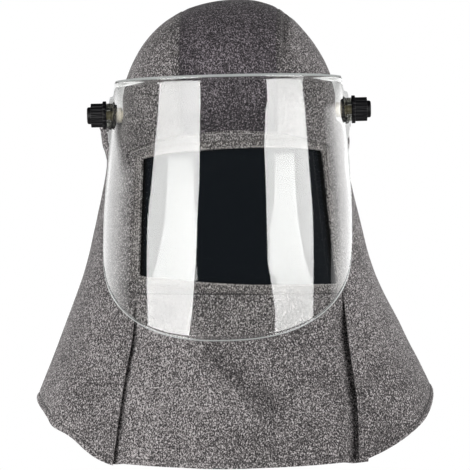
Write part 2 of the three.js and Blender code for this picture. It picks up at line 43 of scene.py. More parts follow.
startEdge, endEdge, footEdge, headEdge = range(4)    # the edges of a sheet's grid


def table(names, *rows):
    return [dict(zip(names.split(), row)) for row in rows]


# The form that every cloth piece follows, as it was cut and sewn
hoodForm = {
    "cloth": 2.0, "edgeRounding": 0.5,
    "gussetHalf": 43.0, "gussetHemHalf": 62.0,
    "slitTop": -255.0, "slitUnderTop": -269.0, "slitFade": 25.0, "tuckFade": 45.0,
    "drapeTop": -225.0,
}
# A crease over the crown, beside the right seam; the cloth between them is in its shade
crease = {"fromSeam": 8.0, "depth": 2.8, "width": 3.0, "top": -17.0, "bottom": -44.0, "fade": 12.0,
          "paintedShading": -0.07, "shadeFrom": -1.5, "shadeTo": 1.0}
# The crown shrinks from its rim by 1 - rise ** fall to the power of flat, and leans right near the top
crown = {"top": 2.0, "rim": -88.0, "fall": 1.5, "flat": 0.42, "lean": 6.0, "leanPower": 5}
# Level sections: half width, sideways shift, front and back ends, where it is widest, squareness
sections = table(
    "z half shift front wide back square",
    (-88, 96.5, 0, -107, 0, 108, 2),
    (-102, 96.5, 0, -107, 2, 110, 2),
    (-117, 100, -1, -103, 14, 110, 2),
    (-130, 105, -2.6, -106, 30, 109, 2),
    (-160, 112, -3.6, -110, 46, 108, 2),
    (-200, 121, -3.8, -112, 52, 108, 2),
    (-250, 134.5, -4.4, -113, 48, 112, 2),
    (-300, 155.5, -2.5, -118, 36, 121, 2.1),
    (-350, 177.5, -1.2, -131, 24, 134, 2.2),
    (-415, 203, -1.2, -151, 14, 152, 2.3),
)
hem = {"middle": -411, "side": -353, "back": -396, "backFall": 1.4, "reach": 104,
       "waveStart": 0.55, "waveLength": 0.32}
flaps = {leftSide: {"corner": -406, "bib": -404.2, "fall": 2.1, "wave": 1.6},
         rightSide: {"corner": -409, "bib": -407, "fall": 1.5, "wave": 0}}
frontSeams = table(
    "z left right",
    (-133, -90, 90), (-200, -87, 94), (-250, -86, 97), (-290, -88.5, 99),
    (-330, -96, 103), (-365, -102, 106), (-410, -108.5, 105.5),
)
tucks = table("side depth width under", (leftSide, 4, 10, 5), (rightSide, 6.5, 16, 11))
foreheadArch = {"middle": -118, "corner": -133, "half": 90}
archDrop = foreheadArch["middle"] - foreheadArch["corner"]
cheeks = table("x height", (-50, 4.3), (52, 6))
cheek = {"spread": 22, "top": -119, "full": -140, "bottom": -320}
bulges = {leftSide: {"y": 33, "z": -113, "height": 26, "fore": 13, "aft": 30, "above": 8, "below": 16},
          rightSide: {"y": 34, "z": -116, "height": 10, "fore": 16, "aft": 28, "above": 9, "below": 22}}
drapes = table(
    "azimuth spread height",
    (-4, 9, -2.5), (-64, 8, 3), (66, 8, 3), (-118, 12, 5), (118, 12, 5),
    (-142, 10, -4), (142, 10, -4), (-166, 11, 4), (166, 11, 4),
)
# A soft diagonal fold across the bib, and the sewn seam above it
bibFold = {"fromX": -30, "fromZ": -303, "toX": 38, "toZ": -363, "depth": 7.0, "width": 10.0, "fade": 14.0,
           # painted shade in the fold's valley
           "paintedShading": -0.05}
bibSeam = {"z": -261.0, "tilt": -0.024, "fromX": -83, "toX": 93, "thread": 0.7, "stitch": 3.1, "lift": 0.1}
# Waves in cloth that hangs: how far they stand off the form, and their sizes
waves = {"broad": 0.55, "broadSize": 42, "small": 0.22, "smallSize": 15, "smallShift": Vector((7, 3, 1))}
# Sewing: how seams pull in, how the folded hem stands proud, where the thread runs and dips
sewing = {
    "rollDepth": 1.5, "rollWidth": 2.6, "puff": 0.5, "puffAt": 6.0, "puffWidth": 3.5,
    "hemWidth": 5.6, "hemHeight": 0.7, "stepFore": 0.6, "stepAft": 1.2,
    "grooveDepth": 1.1, "grooveWidth": 0.9,
    "edgeRound": 1.4, "edgeDrop": 0.6, "pressed": 0.2,
    "pucker": 0.3, "puckerReach": 9.0, "puckerSize": 7.0,
    "pitch": 3.2, "rise": 0.25, "browRow": 2.6, "endSlim": 0.55, "endDip": 0.6, "shadeAngle": 60,
}


def mix(a, b, share):
    return a + (b - a) * share


def clamp(value):
    return min(max(value, 0.0), 1.0)


def smooth(value, low, high):
    u = clamp((value - low) / (high - low))
    return u * u * (3 - 2 * u)


def hump(value, centre, spread):
    return math.exp(-((value - centre) / spread) ** 2)


def columnAt(rows, name, z):
    # a table's column at a height, by a cubic through the rows
    last = len(rows) - 1
    i = 0
    while i < last - 1 and z < rows[i + 1]["z"]:
        i += 1
    span = rows[i + 1]["z"] - rows[i]["z"]
    u = clamp((z - rows[i]["z"]) / span)
    slopes = []
    for k in (i, i + 1):
        above, below = rows[max(k - 1, 0)], rows[min(k + 1, last)]
        slopes.append((below[name] - above[name]) / (below["z"] - above["z"]))
    ends = mix(rows[i][name], rows[i + 1][name], u * u * (3 - 2 * u))
    return ends + span * (slopes[0] * u * (1 - u) ** 2 - slopes[1] * u * u * (1 - u))


def crownRise(z):
    return max((z - crown["rim"]) / (crown["top"] - crown["rim"]), 0)


def crownLean(z):
    return crown["lean"] * crownRise(z) ** crown["leanPower"]


def crownHeight(share):
    # the height at which the crown has shrunk to a share of its rim
    return mix(crown["rim"], crown["top"], (1 - share ** (1 / crown["flat"])) ** (1 / crown["fall"]))


@functools.lru_cache(maxsize=None)
def sectionAt(z):
    names = ("half", "shift", "front", "wide", "back", "square")
    at = {name: columnAt(sections, name, min(z, crown["rim"])) for name in names}
    if z > crown["rim"]:
        share = max(1 - crownRise(z) ** crown["fall"], 0) ** crown["flat"]
        at["shift"] += crownLean(z)
        at["half"] *= share
        at["front"] = mix(at["wide"], at["front"], share)
        at["back"] = mix(at["wide"], at["back"], share)
    return at


def sectionPoint(side, angle, z):
    at = sectionAt(z)
    power = 2 / at["square"]
    length = (at["front"] if angle < 0 else at["back"]) - at["wide"]
    x = at["shift"] + side * at["half"] * math.cos(angle) ** power
    return Vector((x, at["wide"] + length * abs(math.sin(angle)) ** power, z))


def sectionAngle(side, x, z):
    at = sectionAt(z)
    return math.acos(clamp(side * (x - at["shift"]) / at["half"]) ** (at["square"] / 2))


def facePoint(x, z, isBack=False):
    at = sectionAt(z)
    share = min(abs((x - at["shift"]) / at["half"]), 1)
    length = (at["back"] if isBack else at["front"]) - at["wide"]
    return Vector((x, at["wide"] + length * (1 - share ** at["square"]) ** (1 / at["square"]), z))


def frontSeam(side, z):
    return columnAt(frontSeams, "left" if side == leftSide else "right", z)


def foreheadSeam(x):
    return foreheadArch["middle"] - archDrop * (x / foreheadArch["half"]) ** 2


def sideFrontEdge(side, z):
    # front seam, then the forehead's arch, then the gusset
    if z <= foreheadArch["corner"]:
        return frontSeam(side, z)
    share = clamp((foreheadArch["middle"] - z) / archDrop)
    return crownLean(z) + side * max(foreheadArch["half"] * math.sqrt(share), hoodForm["gussetHalf"])


def gussetBackHalf(z):
    share = smooth(crown["rim"] - z, 0, crown["rim"] - hem["back"])
    return mix(hoodForm["gussetHalf"], hoodForm["gussetHemHalf"], share)


def creaseShare(p):
    share = smooth(p.z, crease["bottom"] - crease["fade"], crease["bottom"])
    share *= 1 - smooth(p.z, crease["top"], crease["top"] + crease["fade"])
    return share if p.y < 0 else 0.0


def fromCrease(p):
    return p.x - crownLean(p.z) - hoodForm["gussetHalf"] - crease["fromSeam"]


def drapeRelief(p):
    # how far the hanging cloth stands off the smooth form
    azimuth = math.degrees(math.atan2(p.x, -p.y))
    hang = smooth(hoodForm["drapeTop"] - p.z, 0, hoodForm["drapeTop"] - hem["side"])
    off = sum(d["height"] * hang * hump(azimuth, d["azimuth"], d["spread"]) for d in drapes)
    off -= crease["depth"] * creaseShare(p) * hump(fromCrease(p), 0, crease["width"])
    bulge = bulges[leftSide if p.x < 0 else rightSide]
    spreadZ = bulge["above"] if p.z > bulge["z"] else bulge["below"]
    spreadY = bulge["fore"] if p.y < bulge["y"] else bulge["aft"]
    return off + bulge["height"] * hump(p.y, bulge["y"], spreadY) * hump(p.z, bulge["z"], spreadZ)


def faceRelief(p):
    # the front is full at the cheeks, and its bib dips behind the flaps along its slits
    loose = smooth(hoodForm["slitTop"] - p.z, 0, hoodForm["tuckFade"])
    full = smooth(cheek["top"] - p.z, 0, cheek["top"] - cheek["full"])
    full *= smooth(p.z, cheek["bottom"], cheek["full"])
    off = drapeRelief(p) + full * sum(c["height"] * hump(p.x, c["x"], cheek["spread"]) for c in cheeks)
    for tuck in tucks:
        inside = tuck["side"] * (frontSeam(tuck["side"], p.z) - p.x)
        off -= tuck["depth"] * loose * (1 - smooth(inside, 0, tuck["width"]))
    return off


def foldRelief(p):
    # a soft diagonal valley across the bib
    runX, runZ = bibFold["toX"] - bibFold["fromX"], bibFold["toZ"] - bibFold["fromZ"]
    length = math.hypot(runX, runZ)
    dx, dz = p.x - bibFold["fromX"], p.z - bibFold["fromZ"]
    along, beside = (dx * runX + dz * runZ) / length, (dx * runZ - dz * runX) / length
    ends = smooth(along, -bibFold["fade"], bibFold["fade"])
    ends *= smooth(length - along, -bibFold["fade"], bibFold["fade"])
    return -bibFold["depth"] * ends * hump(beside, 0, bibFold["width"])


def looseness(p):
    # the slight unevenness of cloth that hangs: broad waves and small ones
    broad = waves["broad"] * noise.noise(p / waves["broadSize"])
    return broad + waves["small"] * noise.noise(p / waves["smallSize"] + waves["smallShift"])


def pucker(p, gap):
    # small ripples that the thread draws up beside it
    return sewing["pucker"] * math.exp(-gap / sewing["puckerReach"]) * noise.noise(p / sewing["puckerSize"])


def seamPull(p, gap):
    # cloth rolls in at a seam, puffs up beside it and puckers along the thread; pressed flat on the crown
    raised = mix(1, sewing["pressed"], smooth(p.z, foreheadArch["corner"], crown["rim"]))
    off = -sewing["rollDepth"] * hump(gap, 0, sewing["rollWidth"])
    off += sewing["puff"] * hump(gap, sewing["puffAt"], sewing["puffWidth"])
    off += pucker(p, gap)
    return off * raised


def foldedEdge(p, gap):
    # a turned and stitched edge: thicker up to the thread, with a groove along it
    thread = sewing["hemWidth"]
    off = sewing["hemHeight"] * (1 - smooth(gap, thread - sewing["stepFore"], thread + sewing["stepAft"]))
    off -= sewing["grooveDepth"] * hump(gap, thread, sewing["grooveWidth"])
    off -= sewing["edgeDrop"] * (1 - smooth(gap, 0, sewing["edgeRound"]))
    return off + pucker(p, gap)


# Blender helpers
def deselectAll():
    bpy.ops.object.select_all(action="DESELECT")


def pick(piece):
    deselectAll()
    piece.select_set(True)
    bpy.context.view_layer.objects.active = piece


def applyModifier(piece, kind, **settings):
    pick(piece)
    modifier = piece.modifiers.new(kind.lower(), kind)
    for name, value in settings.items():
        setattr(modifier, name, value)
    bpy.ops.object.modifier_apply(modifier=modifier.name)


def roundEdges(piece, width, angle):
    applyModifier(piece, "BEVEL", width=width * mm, segments=2, limit_method="ANGLE",
                  angle_limit=math.radians(angle))


def shadeSmooth(piece, angle):
    pick(piece)
    bpy.ops.object.shade_smooth_by_angle(angle=math.radians(angle))


def combine(piece, operation, tool):
    # joins a solid to a piece or cuts it out, and uses it up
    applyModifier(piece, "BOOLEAN", operation=operation, solver="EXACT", object=tool)
    bpy.data.objects.remove(tool)


def faceOutwards():
    # from edit mode: turns every face outwards and goes back to object mode
    bpy.ops.mesh.select_all(action="SELECT")
    bpy.ops.mesh.normals_make_consistent(inside=False)
    bpy.ops.object.mode_set(mode="OBJECT")


def addPiece(name, data):
    piece = bpy.data.objects.new(name, data)
    bpy.context.scene.collection.objects.link(piece)
    return piece


def meshPiece(name, points, faces):
    mesh = bpy.data.meshes.new(name)
    mesh.from_pydata(points, [], faces)
    return addPiece(name, mesh)


def easeEnds(share, ease):
    # closer steps near both ends
    return share - ease * math.sin(2 * math.pi * share) / (2 * math.pi)


def layGrid(name, grid, place):
    # a grid carried onto a curved form, finest along its edges
    deselectAll()
    bpy.ops.mesh.primitive_grid_add(x_subdivisions=grid["columns"], y_subdivisions=grid["rows"], size=2)
    piece = bpy.context.object
    piece.name = piece.data.name = name
    for vertex in piece.data.vertices:
        s = easeEnds((vertex.co.x + 1) / 2, grid["ease"])
        t = easeEnds((vertex.co.y + 1) / 2, grid["ease"])
        vertex.co = place(s, t) * mm
    piece.data.update()
    return piece


def edgeGaps(piece, grid):
    # millimetres along the sheet from each point to its start, end, foot and head edges
    points = [vertex.co / mm for vertex in piece.data.vertices]
    across = grid["columns"] + 1
    gaps = [[0.0] * 4 for _ in points]

    def measure(line, low, high):
        run = [0.0]
        for a, b in zip(line, line[1:]):
            run.append(run[-1] + (points[b] - points[a]).length)
        for i, length in zip(line, run):
            gaps[i][low], gaps[i][high] = length, run[-1] - length

    for r in range(grid["rows"] + 1):
        measure(list(range(r * across, (r + 1) * across)), startEdge, endEdge)
    for c in range(across):
        measure(list(range(c, len(points), across)), footEdge, headEdge)
    return gaps


def raiseCloth(piece, grid, relief):
    gaps = edgeGaps(piece, grid)
    normals = [vertex.normal.copy() for vertex in piece.data.vertices]
    for vertex, normal, gap in zip(piece.data.vertices, normals, gaps):
        vertex.co += normal * relief(vertex.co / mm, gap) * mm
    piece.data.update()
    return gaps


def paintShading(piece, paintedShading):
    # painted light and shade: lighter or darker colour by place, read by the knit's material
    values = [paintedShading(vertex.co / mm) for vertex in piece.data.vertices]
    piece.data.attributes.new("paintedShading", "FLOAT", "POINT").data.foreach_set("value", values)


def thicken(piece, thickness, rounding, angle=50):
    applyModifier(piece, "SOLIDIFY", thickness=thickness * mm, offset=-1)
    if rounding:
        roundEdges(piece, rounding, angle)
    shadeSmooth(piece, angle)


def dress(piece, material, body, slot, *nodes):
    if not piece.data.materials:
        piece.data.materials.append(material)
    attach(piece, body)
    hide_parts(*nodes)


def rowAlong(piece, grid, gaps, edge, distance):
    # points and normals of a sheet at a distance from its foot or head edge
    across = grid["columns"] + 1
    line = []
    for c in range(across):
        run = list(range(c, across * (grid["rows"] + 1), across))
        if edge == headEdge:
            run.reverse()
        for a, b in zip(run, run[1:]):
            low, high = gaps[a][edge], gaps[b][edge]
            if low <= distance <= high:
                share = (distance - low) / (high - low)
                start, end = piece.data.vertices[a], piece.data.vertices[b]
                normal = start.normal.lerp(end.normal, share).normalized()
                line.append((start.co.lerp(end.co, share) / mm, normal))
                break
    return line


def evenly(line, spacing):
    # a line of points and normals, walked in equal steps
    found, behind = [], 0.0
    for (a, normalA), (b, normalB) in zip(line, line[1:]):
        length = (b - a).length
        while behind < length:
            share = behind / length
            normal = normalA.lerp(normalB, share).normalized()
            found.append((a.lerp(b, share), normal, (b - a).normalized()))
            behind += spacing
        behind -= length
    return found


def sewRow(name, line, node, thread, width=0.42, stitch=2.3, sides=6, rings=5):
    # lockstitches: short lengths of thread that dip into the cloth at both ends, drawn a little thick to show
    points, faces = [], []
    for middle, normal, along in evenly(line, sewing["pitch"]):
        beside = along.cross(normal).normalized()
        first = len(points)
        for r in range(rings):
            share = 2 * r / (rings - 1) - 1
            slim = 1 - sewing["endSlim"] * share ** 4
            centre = middle + along * share * stitch / 2
            centre += normal * (sewing["rise"] - sewing["endDip"] * width * share ** 4)
            for k in range(sides):
                turn = 2 * math.pi * k / sides
                out = (beside * math.cos(turn) + normal * math.sin(turn)) * width * slim
                points.append((centre + out) * mm)
        for r in range(rings - 1):
            for k in range(sides):
                a, b = first + r * sides + k, first + r * sides + (k + 1) % sides
                faces.append((a, a + sides, b + sides, b))
        faces.append(tuple(range(first, first + sides)))
        last = first + (rings - 1) * sides
        faces.append(tuple(reversed(range(last, last + sides))))
    piece = meshPiece(name, points, faces)
    pick(piece)
    bpy.ops.object.mode_set(mode="EDIT")
    faceOutwards()
    shadeSmooth(piece, sewing["shadeAngle"])
    dress(piece, thread, "hood", "cloth", node)


# Materials
def linear(text):
    # sRGB hex to the linear colour that shaders take
    parts = [int(text[i:i + 2], 16) / 255 for i in (1, 3, 5)]
    return (*[c / 12.92 if c <= 0.04045 else ((c + 0.055) / 1.055) ** 2.4 for c in parts], 1.0)


def addNode(tree, kind, settings=None, links=None):
    node = tree.nodes.new(kind)
    for name, value in (settings or {}).items():
        if isinstance(name, int) or name in node.inputs:
            node.inputs[name].default_value = value
        else:
            setattr(node, name, value)
    for name, socket in (links or {}).items():
        tree.links.new(socket, node.inputs[name])
    return node


def newMaterial(name):
    material = bpy.data.materials.new(name)
    material.use_nodes = True
    tree = material.node_tree
    tree.nodes.clear()
    return material, tree


def perMetre(size):
    return 1 / (size * mm)       # texture scale for a feature of that many millimetres


# Flecks of the yarn, drawn a little coarser than real ones so that they show, patches over which its mix
# drifts and the height of its loops, in millimetres; then where the mix is all dark and all light
knit = {"fleck": 1.05, "stretch": (1, 0.6, 0.75), "patch": 34, "drift": 0.10, "loop": 0.4,
        "darkTo": 0.34, "lightFrom": 0.66}


def marlKnit(name, dark, middle, light):
    # Cut-resistant jersey knitted from a marl yarn of black and white fibres: matt, salt and pepper
    material, tree = newMaterial(name)
    place = addNode(tree, "ShaderNodeTexCoord").outputs["Object"]
    upright = addNode(tree, "ShaderNodeVectorMath", {"operation": "MULTIPLY", 1: knit["stretch"]},
                      {0: place})
    fine = addNode(tree, "ShaderNodeTexNoise",
                   {"Scale": perMetre(knit["fleck"]), "Detail": 1.5, "Roughness": 0.6, "Distortion": 0.4},
                   {"Vector": upright.outputs[0]})
    broad = addNode(tree, "ShaderNodeTexNoise", {"Scale": perMetre(knit["patch"]), "Detail": 2.0},
                    {"Vector": place})
    drift = addNode(tree, "ShaderNodeMath",
                    {"operation": "MULTIPLY_ADD", 1: knit["drift"], 2: -knit["drift"] / 2},
                    {0: broad.outputs["Fac"]})
    mixed = addNode(tree, "ShaderNodeMath", {"operation": "ADD"},
                    {0: fine.outputs["Fac"], 1: drift.outputs[0]})
    # painted light and shade from the cloth's attribute, added to the yarn's mix
    paintedShading = addNode(tree, "ShaderNodeAttribute", {"attribute_name": "paintedShading"})
    total = addNode(tree, "ShaderNodeMath", {"operation": "ADD"},
                    {0: mixed.outputs[0], 1: paintedShading.outputs["Fac"]})
    ramp = addNode(tree, "ShaderNodeValToRGB", None, {"Fac": total.outputs[0]})
    ramp.color_ramp.elements[0].position = knit["darkTo"]
    ramp.color_ramp.elements[0].color = linear(dark)
    ramp.color_ramp.elements[1].position = knit["lightFrom"]
    ramp.color_ramp.elements[1].color = linear(light)
    ramp.color_ramp.elements.new(0.5).color = linear(middle)
    bump = addNode(tree, "ShaderNodeBump", {"Strength": 0.5, "Distance": knit["loop"] * mm},
                   {"Height": fine.outputs["Fac"]})
    shader = addNode(tree, "ShaderNodeBsdfPrincipled",
                     {"Roughness": 0.92, "IOR": 1.45, "Sheen Weight": 0.05, "Sheen Roughness": 0.5},
                     {"Base Color": ramp.outputs["Color"], "Normal": bump.outputs["Normal"]})
    addNode(tree, "ShaderNodeOutputMaterial", None, {"Surface": shader.outputs["BSDF"]})
    return material


# A formed sheet's slow waves, in millimetres
sheet = {"wave": 60, "waveHeight": 0.3}


def polishedSheet(name, colour, roughness, ior, transmission, tint=None, density=0.0):
    # Sheet plastic with a press-polished face: a faint waviness is all that breaks its reflections
    material, tree = newMaterial(name)
    place = addNode(tree, "ShaderNodeTexCoord").outputs["Object"]
    wave = addNode(tree, "ShaderNodeTexNoise", {"Scale": perMetre(sheet["wave"]), "Detail": 1.0},
                   {"Vector": place})
    bump = addNode(tree, "ShaderNodeBump", {"Strength": 0.15, "Distance": sheet["waveHeight"] * mm},
                   {"Height": wave.outputs["Fac"]})
    shader = addNode(tree, "ShaderNodeBsdfPrincipled",
                     {"Base Color": linear(colour), "Roughness": roughness, "IOR": ior,
                      "Transmission Weight": transmission},
                     {"Normal": bump.outputs["Normal"]})
    finish = addNode(tree, "ShaderNodeOutputMaterial", None, {"Surface": shader.outputs["BSDF"]})
    if density:
        # the body colour that shows where the sheet is seen along its length
        body = addNode(tree, "ShaderNodeVolumeAbsorption", {"Color": linear(tint), "Density": density})
        tree.links.new(body.outputs["Volume"], finish.inputs["Volume"])
    return material


# A mould's grain, drawn coarser than a real one so that it shows, and the patches that hands rub, in
# millimetres, with how far these change the roughness
mould = {"grain": 0.5, "grainHeight": 0.1, "patch": 7, "smoother": 0.06, "rougher": 0.08}


def mouldedPlastic(name, colour, worn, roughness, ior=1.5):
    # Injection-moulded plastic: a fine spark-eroded grain, slightly paler where hands rub it
    material, tree = newMaterial(name)
    place = addNode(tree, "ShaderNodeTexCoord").outputs["Object"]
    grain = addNode(tree, "ShaderNodeTexNoise", {"Scale": perMetre(mould["grain"]), "Detail": 2.0},
                    {"Vector": place})
    patch = addNode(tree, "ShaderNodeTexNoise", {"Scale": perMetre(mould["patch"]), "Detail": 2.0},
                    {"Vector": place})
    colours = addNode(tree, "ShaderNodeMix", {"data_type": "RGBA", 6: linear(colour), 7: linear(worn)},
                      {0: patch.outputs["Fac"]})
    gloss = addNode(tree, "ShaderNodeMapRange",
                    {"From Min": 0.3, "From Max": 0.7, "To Min": roughness - mould["smoother"],
                     "To Max": roughness + mould["rougher"]}, {"Value": patch.outputs["Fac"]})
    bump = addNode(tree, "ShaderNodeBump", {"Strength": 0.2, "Distance": mould["grainHeight"] * mm},
                   {"Height": grain.outputs["Fac"]})
    shader = addNode(tree, "ShaderNodeBsdfPrincipled", {"IOR": ior},
                     {"Base Color": colours.outputs[2], "Roughness": gloss.outputs["Result"],
                      "Normal": bump.outputs["Normal"]})
    addNode(tree, "ShaderNodeOutputMaterial", None, {"Surface": shader.outputs["BSDF"]})
    return material


# The thread's twist, in millimetres
spun = {"twist": 0.8, "twistHeight": 0.1}


def spunThread(name, dark, light):
    # Spun polyester sewing thread: a twisted, slightly hairy yarn with a dull sheen
    material, tree = newMaterial(name)
    place = addNode(tree, "ShaderNodeTexCoord").outputs["Object"]
    twist = addNode(tree, "ShaderNodeTexNoise", {"Scale": perMetre(spun["twist"]), "Detail": 2.0},
                    {"Vector": place})
    colours = addNode(tree, "ShaderNodeMix", {"data_type": "RGBA", 6: linear(dark), 7: linear(light)},
                      {0: twist.outputs["Fac"]})
    bump = addNode(tree, "ShaderNodeBump", {"Strength": 0.4, "Distance": spun["twistHeight"] * mm},
                   {"Height": twist.outputs["Fac"]})
    shader = addNode(tree, "ShaderNodeBsdfPrincipled", {"Roughness": 0.7, "Sheen Weight": 0.2},
                     {"Base Color": colours.outputs[2], "Normal": bump.outputs["Normal"]})
    addNode(tree, "ShaderNodeOutputMaterial", None, {"Surface": shader.outputs["BSDF"]})
    return material


clothKnit = marlKnit("marl_knit_cut_resistant", "#141214", "#555151", "#bcb7b7")
crownKnit = marlKnit("marl_knit_dark_mix", "#110e12", "#3a3539", "#958d93")
bandKnit = marlKnit("marl_knit_doubled", "#161415", "#595554", "#bfbab8")
greyThread = spunThread("polyester_thread_grey_spun", "#2e2c2c", "#4a4746")
# dark thread for the bib's seam: real stitches that also stand for painted shade along the seam
darkThreadSeamShade = spunThread("polyester_thread_dark_seam_shade", "#151314", "#262324")
paleThread = spunThread("polyester_thread_pale_spun", "#8f8b89", "#bdb9b6")
paneSheet = polishedSheet("polycarbonate_dark_hard_coated", "#0e1318", 0.04, 1.6, 0.0)
visorSheet = polishedSheet("polycarbonate_clear_formed", "#fbfcfc", 0.02, 1.585, 1.0, "#bcbca9", 60.0)
visorEdge = polishedSheet("polycarbonate_cut_edge", "#c2c6c6", 0.4, 1.585, 0.5, "#bcbca9", 60.0)
knobPlastic = mouldedPlastic("nylon_black_moulded", "#060508", "#0c0b0e", 0.42, 1.36)
bushPlastic = mouldedPlastic("nylon_cream_moulded", "#f1e8d2", "#f6efdf", 0.45)
# the cream stud inside the boss, drawn olive: painted shade and the boss's tint
shadedStudPlastic = mouldedPlastic("nylon_cream_shade_painted_olive", "#77715a", "#857f67", 0.45)
print("materials made")

# Side panels: from the hem past the forehead's seam and over the crown to the gusset
sidePanel = {"columns": 110, "rows": 150, "ease": 0.75, "flat": (0.36, 0.46), "area": 0.092,
             "cape": 10, "forehead": 3, "temple": 2, "crown": 7, "apexMargin": 1.008,
             # painted shade along the gusset's seams and low on the right of the cape
             "seamShade": {leftSide: -0.025, rightSide: -0.05}, "shadeReach": {leftSide: 12, rightSide: 30},
             "capeShade": -0.024, "capeFrom": -300}
sideSteps = sidePanel["cape"] + sidePanel["forehead"] + sidePanel["temple"] + sidePanel["crown"]


def sideLevel(k):
    gussetCorner = foreheadSeam(hoodForm["gussetHalf"])
    steps = ((sidePanel["cape"], hem["side"], foreheadArch["corner"]),
             (sidePanel["forehead"], foreheadArch["corner"], gussetCorner),
             (sidePanel["temple"], gussetCorner, crown["rim"]))
    for count, low, high in steps:
        if k <= count:
            return mix(low, high, k / count)
        k -= count
    apex = math.acos(hoodForm["gussetHalf"] / sections[0]["half"] * sidePanel["apexMargin"])
    return crownHeight(math.cos(apex * k / sidePanel["crown"]))


def sidePoint(side, s, t):
    level = sideLevel(t * sideSteps)
    hang = smooth(hem["side"] + hem["reach"] - level, 0, hem["reach"])
    frontZ = level + (flaps[side]["corner"] - hem["side"]) * hang
    backZ = level + (hem["back"] - hem["side"]) * hang
    frontAngle = sectionAngle(side, sideFrontEdge(side, frontZ), frontZ)
    backAngle = sectionAngle(side, crownLean(backZ) + side * gussetBackHalf(backZ), backZ)
    angle = mix(-frontAngle, backAngle, s)
    if angle >= 0:
        way = math.sin(angle) / math.sin(backAngle)
        return sectionPoint(side, angle, mix(level, backZ, way ** hem["backFall"]))
    way = math.sin(-angle) / math.sin(frontAngle)
    turns = max(way - hem["waveStart"], 0) / hem["waveLength"]
    wave = flaps[side]["wave"] * hang * math.sin(2 * math.pi * turns)
    return sectionPoint(side, angle, mix(level, frontZ, way ** flaps[side]["fall"]) - wave)


def sideShading(p):
    # painted shade: darker along the gusset's seams, in the shade of the crease and low on the right of the
    # cape
    side = leftSide if p.x < 0 else rightSide
    fromSeam = side * (p.x - crownLean(p.z)) - hoodForm["gussetHalf"]
    beside = sidePanel["seamShade"][side] * (1 - smooth(fromSeam, 0, sidePanel["shadeReach"][side]))
    beside *= smooth(p.z, foreheadArch["middle"], crown["rim"])
    shaded = crease["paintedShading"] * (1 - smooth(fromCrease(p), crease["shadeFrom"], crease["shadeTo"]))
    if side == leftSide:
        return beside
    cape = sidePanel["capeShade"] * smooth(-p.z, -sidePanel["capeFrom"], -hem["side"])
    return mix(beside, shaded, creaseShare(p)) + cape


def sideCloth(side, word):
    isLeft = side == leftSide

    def place(s, t):
        return sidePoint(side, 1 - s if isLeft else s, t)

    def relief(p, gap):
        front, back = (gap[endEdge], gap[startEdge]) if isLeft else (gap[startEdge], gap[endEdge])
        loose = smooth(hoodForm["slitTop"] - p.z, 0, hoodForm["slitFade"])
        off = drapeRelief(p) + looseness(p) + seamPull(p, min(back, gap[headEdge]))
        off += foldedEdge(p, gap[footEdge])
        return off + mix(seamPull(p, front), foldedEdge(p, front), loose)

    piece = layGrid(word + "_side_cloth", sidePanel, place)
    gaps = raiseCloth(piece, sidePanel, relief)
    hemLine = rowAlong(piece, sidePanel, gaps, footEdge, sewing["hemWidth"])
    sewRow(word + "_hem_stitches", hemLine, word + "_side_panel", greyThread)
    paintShading(piece, sideShading)
    thicken(piece, hoodForm["cloth"], hoodForm["edgeRounding"])
    dress(piece, clothKnit, "hood", "cloth", word + "_side_panel")


for side, word in bothSides:
    sideCloth(side, word)
print("side panels sewn")

# Centre gusset: up the forehead, over the crown and down the back
gusset = {"columns": 50, "rows": 240, "ease": 0.7, "forehead": 2, "crown": 18, "back": 14,
          # painted shade towards the forehead's seam and towards the side seams
          "seamShade": -0.05, "shadeTop": -78, "edgeShade": -0.025, "edgeFrom": 14,
          "flat": (0.124, 0.66), "area": 0.061}


def gussetPoint(s, t):
    k = t * (gusset["forehead"] + gusset["crown"] + gusset["back"])
    x = mix(-hoodForm["gussetHalf"], hoodForm["gussetHalf"], s)
    if k <= gusset["forehead"]:
        return facePoint(x, mix(foreheadSeam(x), crown["rim"], k / gusset["forehead"]))
    over = (k - gusset["forehead"]) / gusset["crown"]
    if over <= 1:
        rim = sections[0]
        pitch = math.pi * over
        reach = math.sqrt(1 - (x / rim["half"]) ** 2)
        length = rim["wide"] - rim["front"] if pitch < math.pi / 2 else rim["back"] - rim["wide"]
        z = crownHeight(math.sqrt(1 - (reach * math.sin(pitch)) ** 2))
        return Vector((x + crownLean(z), rim["wide"] - length * reach * math.cos(pitch), z))
    z = mix(crown["rim"], hem["back"], (over - 1) * gusset["crown"] / gusset["back"])
    half = gussetBackHalf(z)
    return facePoint(mix(-half, half, s), z, True)


def gussetRelief(p, gap):
    seam = min(gap[startEdge], gap[endEdge], gap[footEdge])
    return drapeRelief(p) + looseness(p) + seamPull(p, seam) + foldedEdge(p, gap[headEdge])


def gussetShading(p):
    # painted shade: the dark mix is drawn darker towards the sides and towards the forehead's seam
    fromMiddle = abs(p.x - crownLean(p.z))
    paintedShading = gusset["edgeShade"] * smooth(fromMiddle, gusset["edgeFrom"], hoodForm["gussetHalf"])
    if p.y < 0:
        paintedShading += gusset["seamShade"] * smooth(-p.z, -gusset["shadeTop"], -foreheadArch["middle"])
    return paintedShading


crownCloth = layGrid("crown_back_cloth", gusset, gussetPoint)
gaps = raiseCloth(crownCloth, gusset, gussetRelief)
hemLine = rowAlong(crownCloth, gusset, gaps, headEdge, sewing["hemWidth"])
sewRow("back_hem_stitches", hemLine, "crown_back_panel", greyThread)
paintShading(crownCloth, gussetShading)
thicken(crownCloth, hoodForm["cloth"], hoodForm["edgeRounding"])
dress(crownCloth, crownKnit, "hood", "cloth", "crown_back_panel")
print("crown and back sewn")

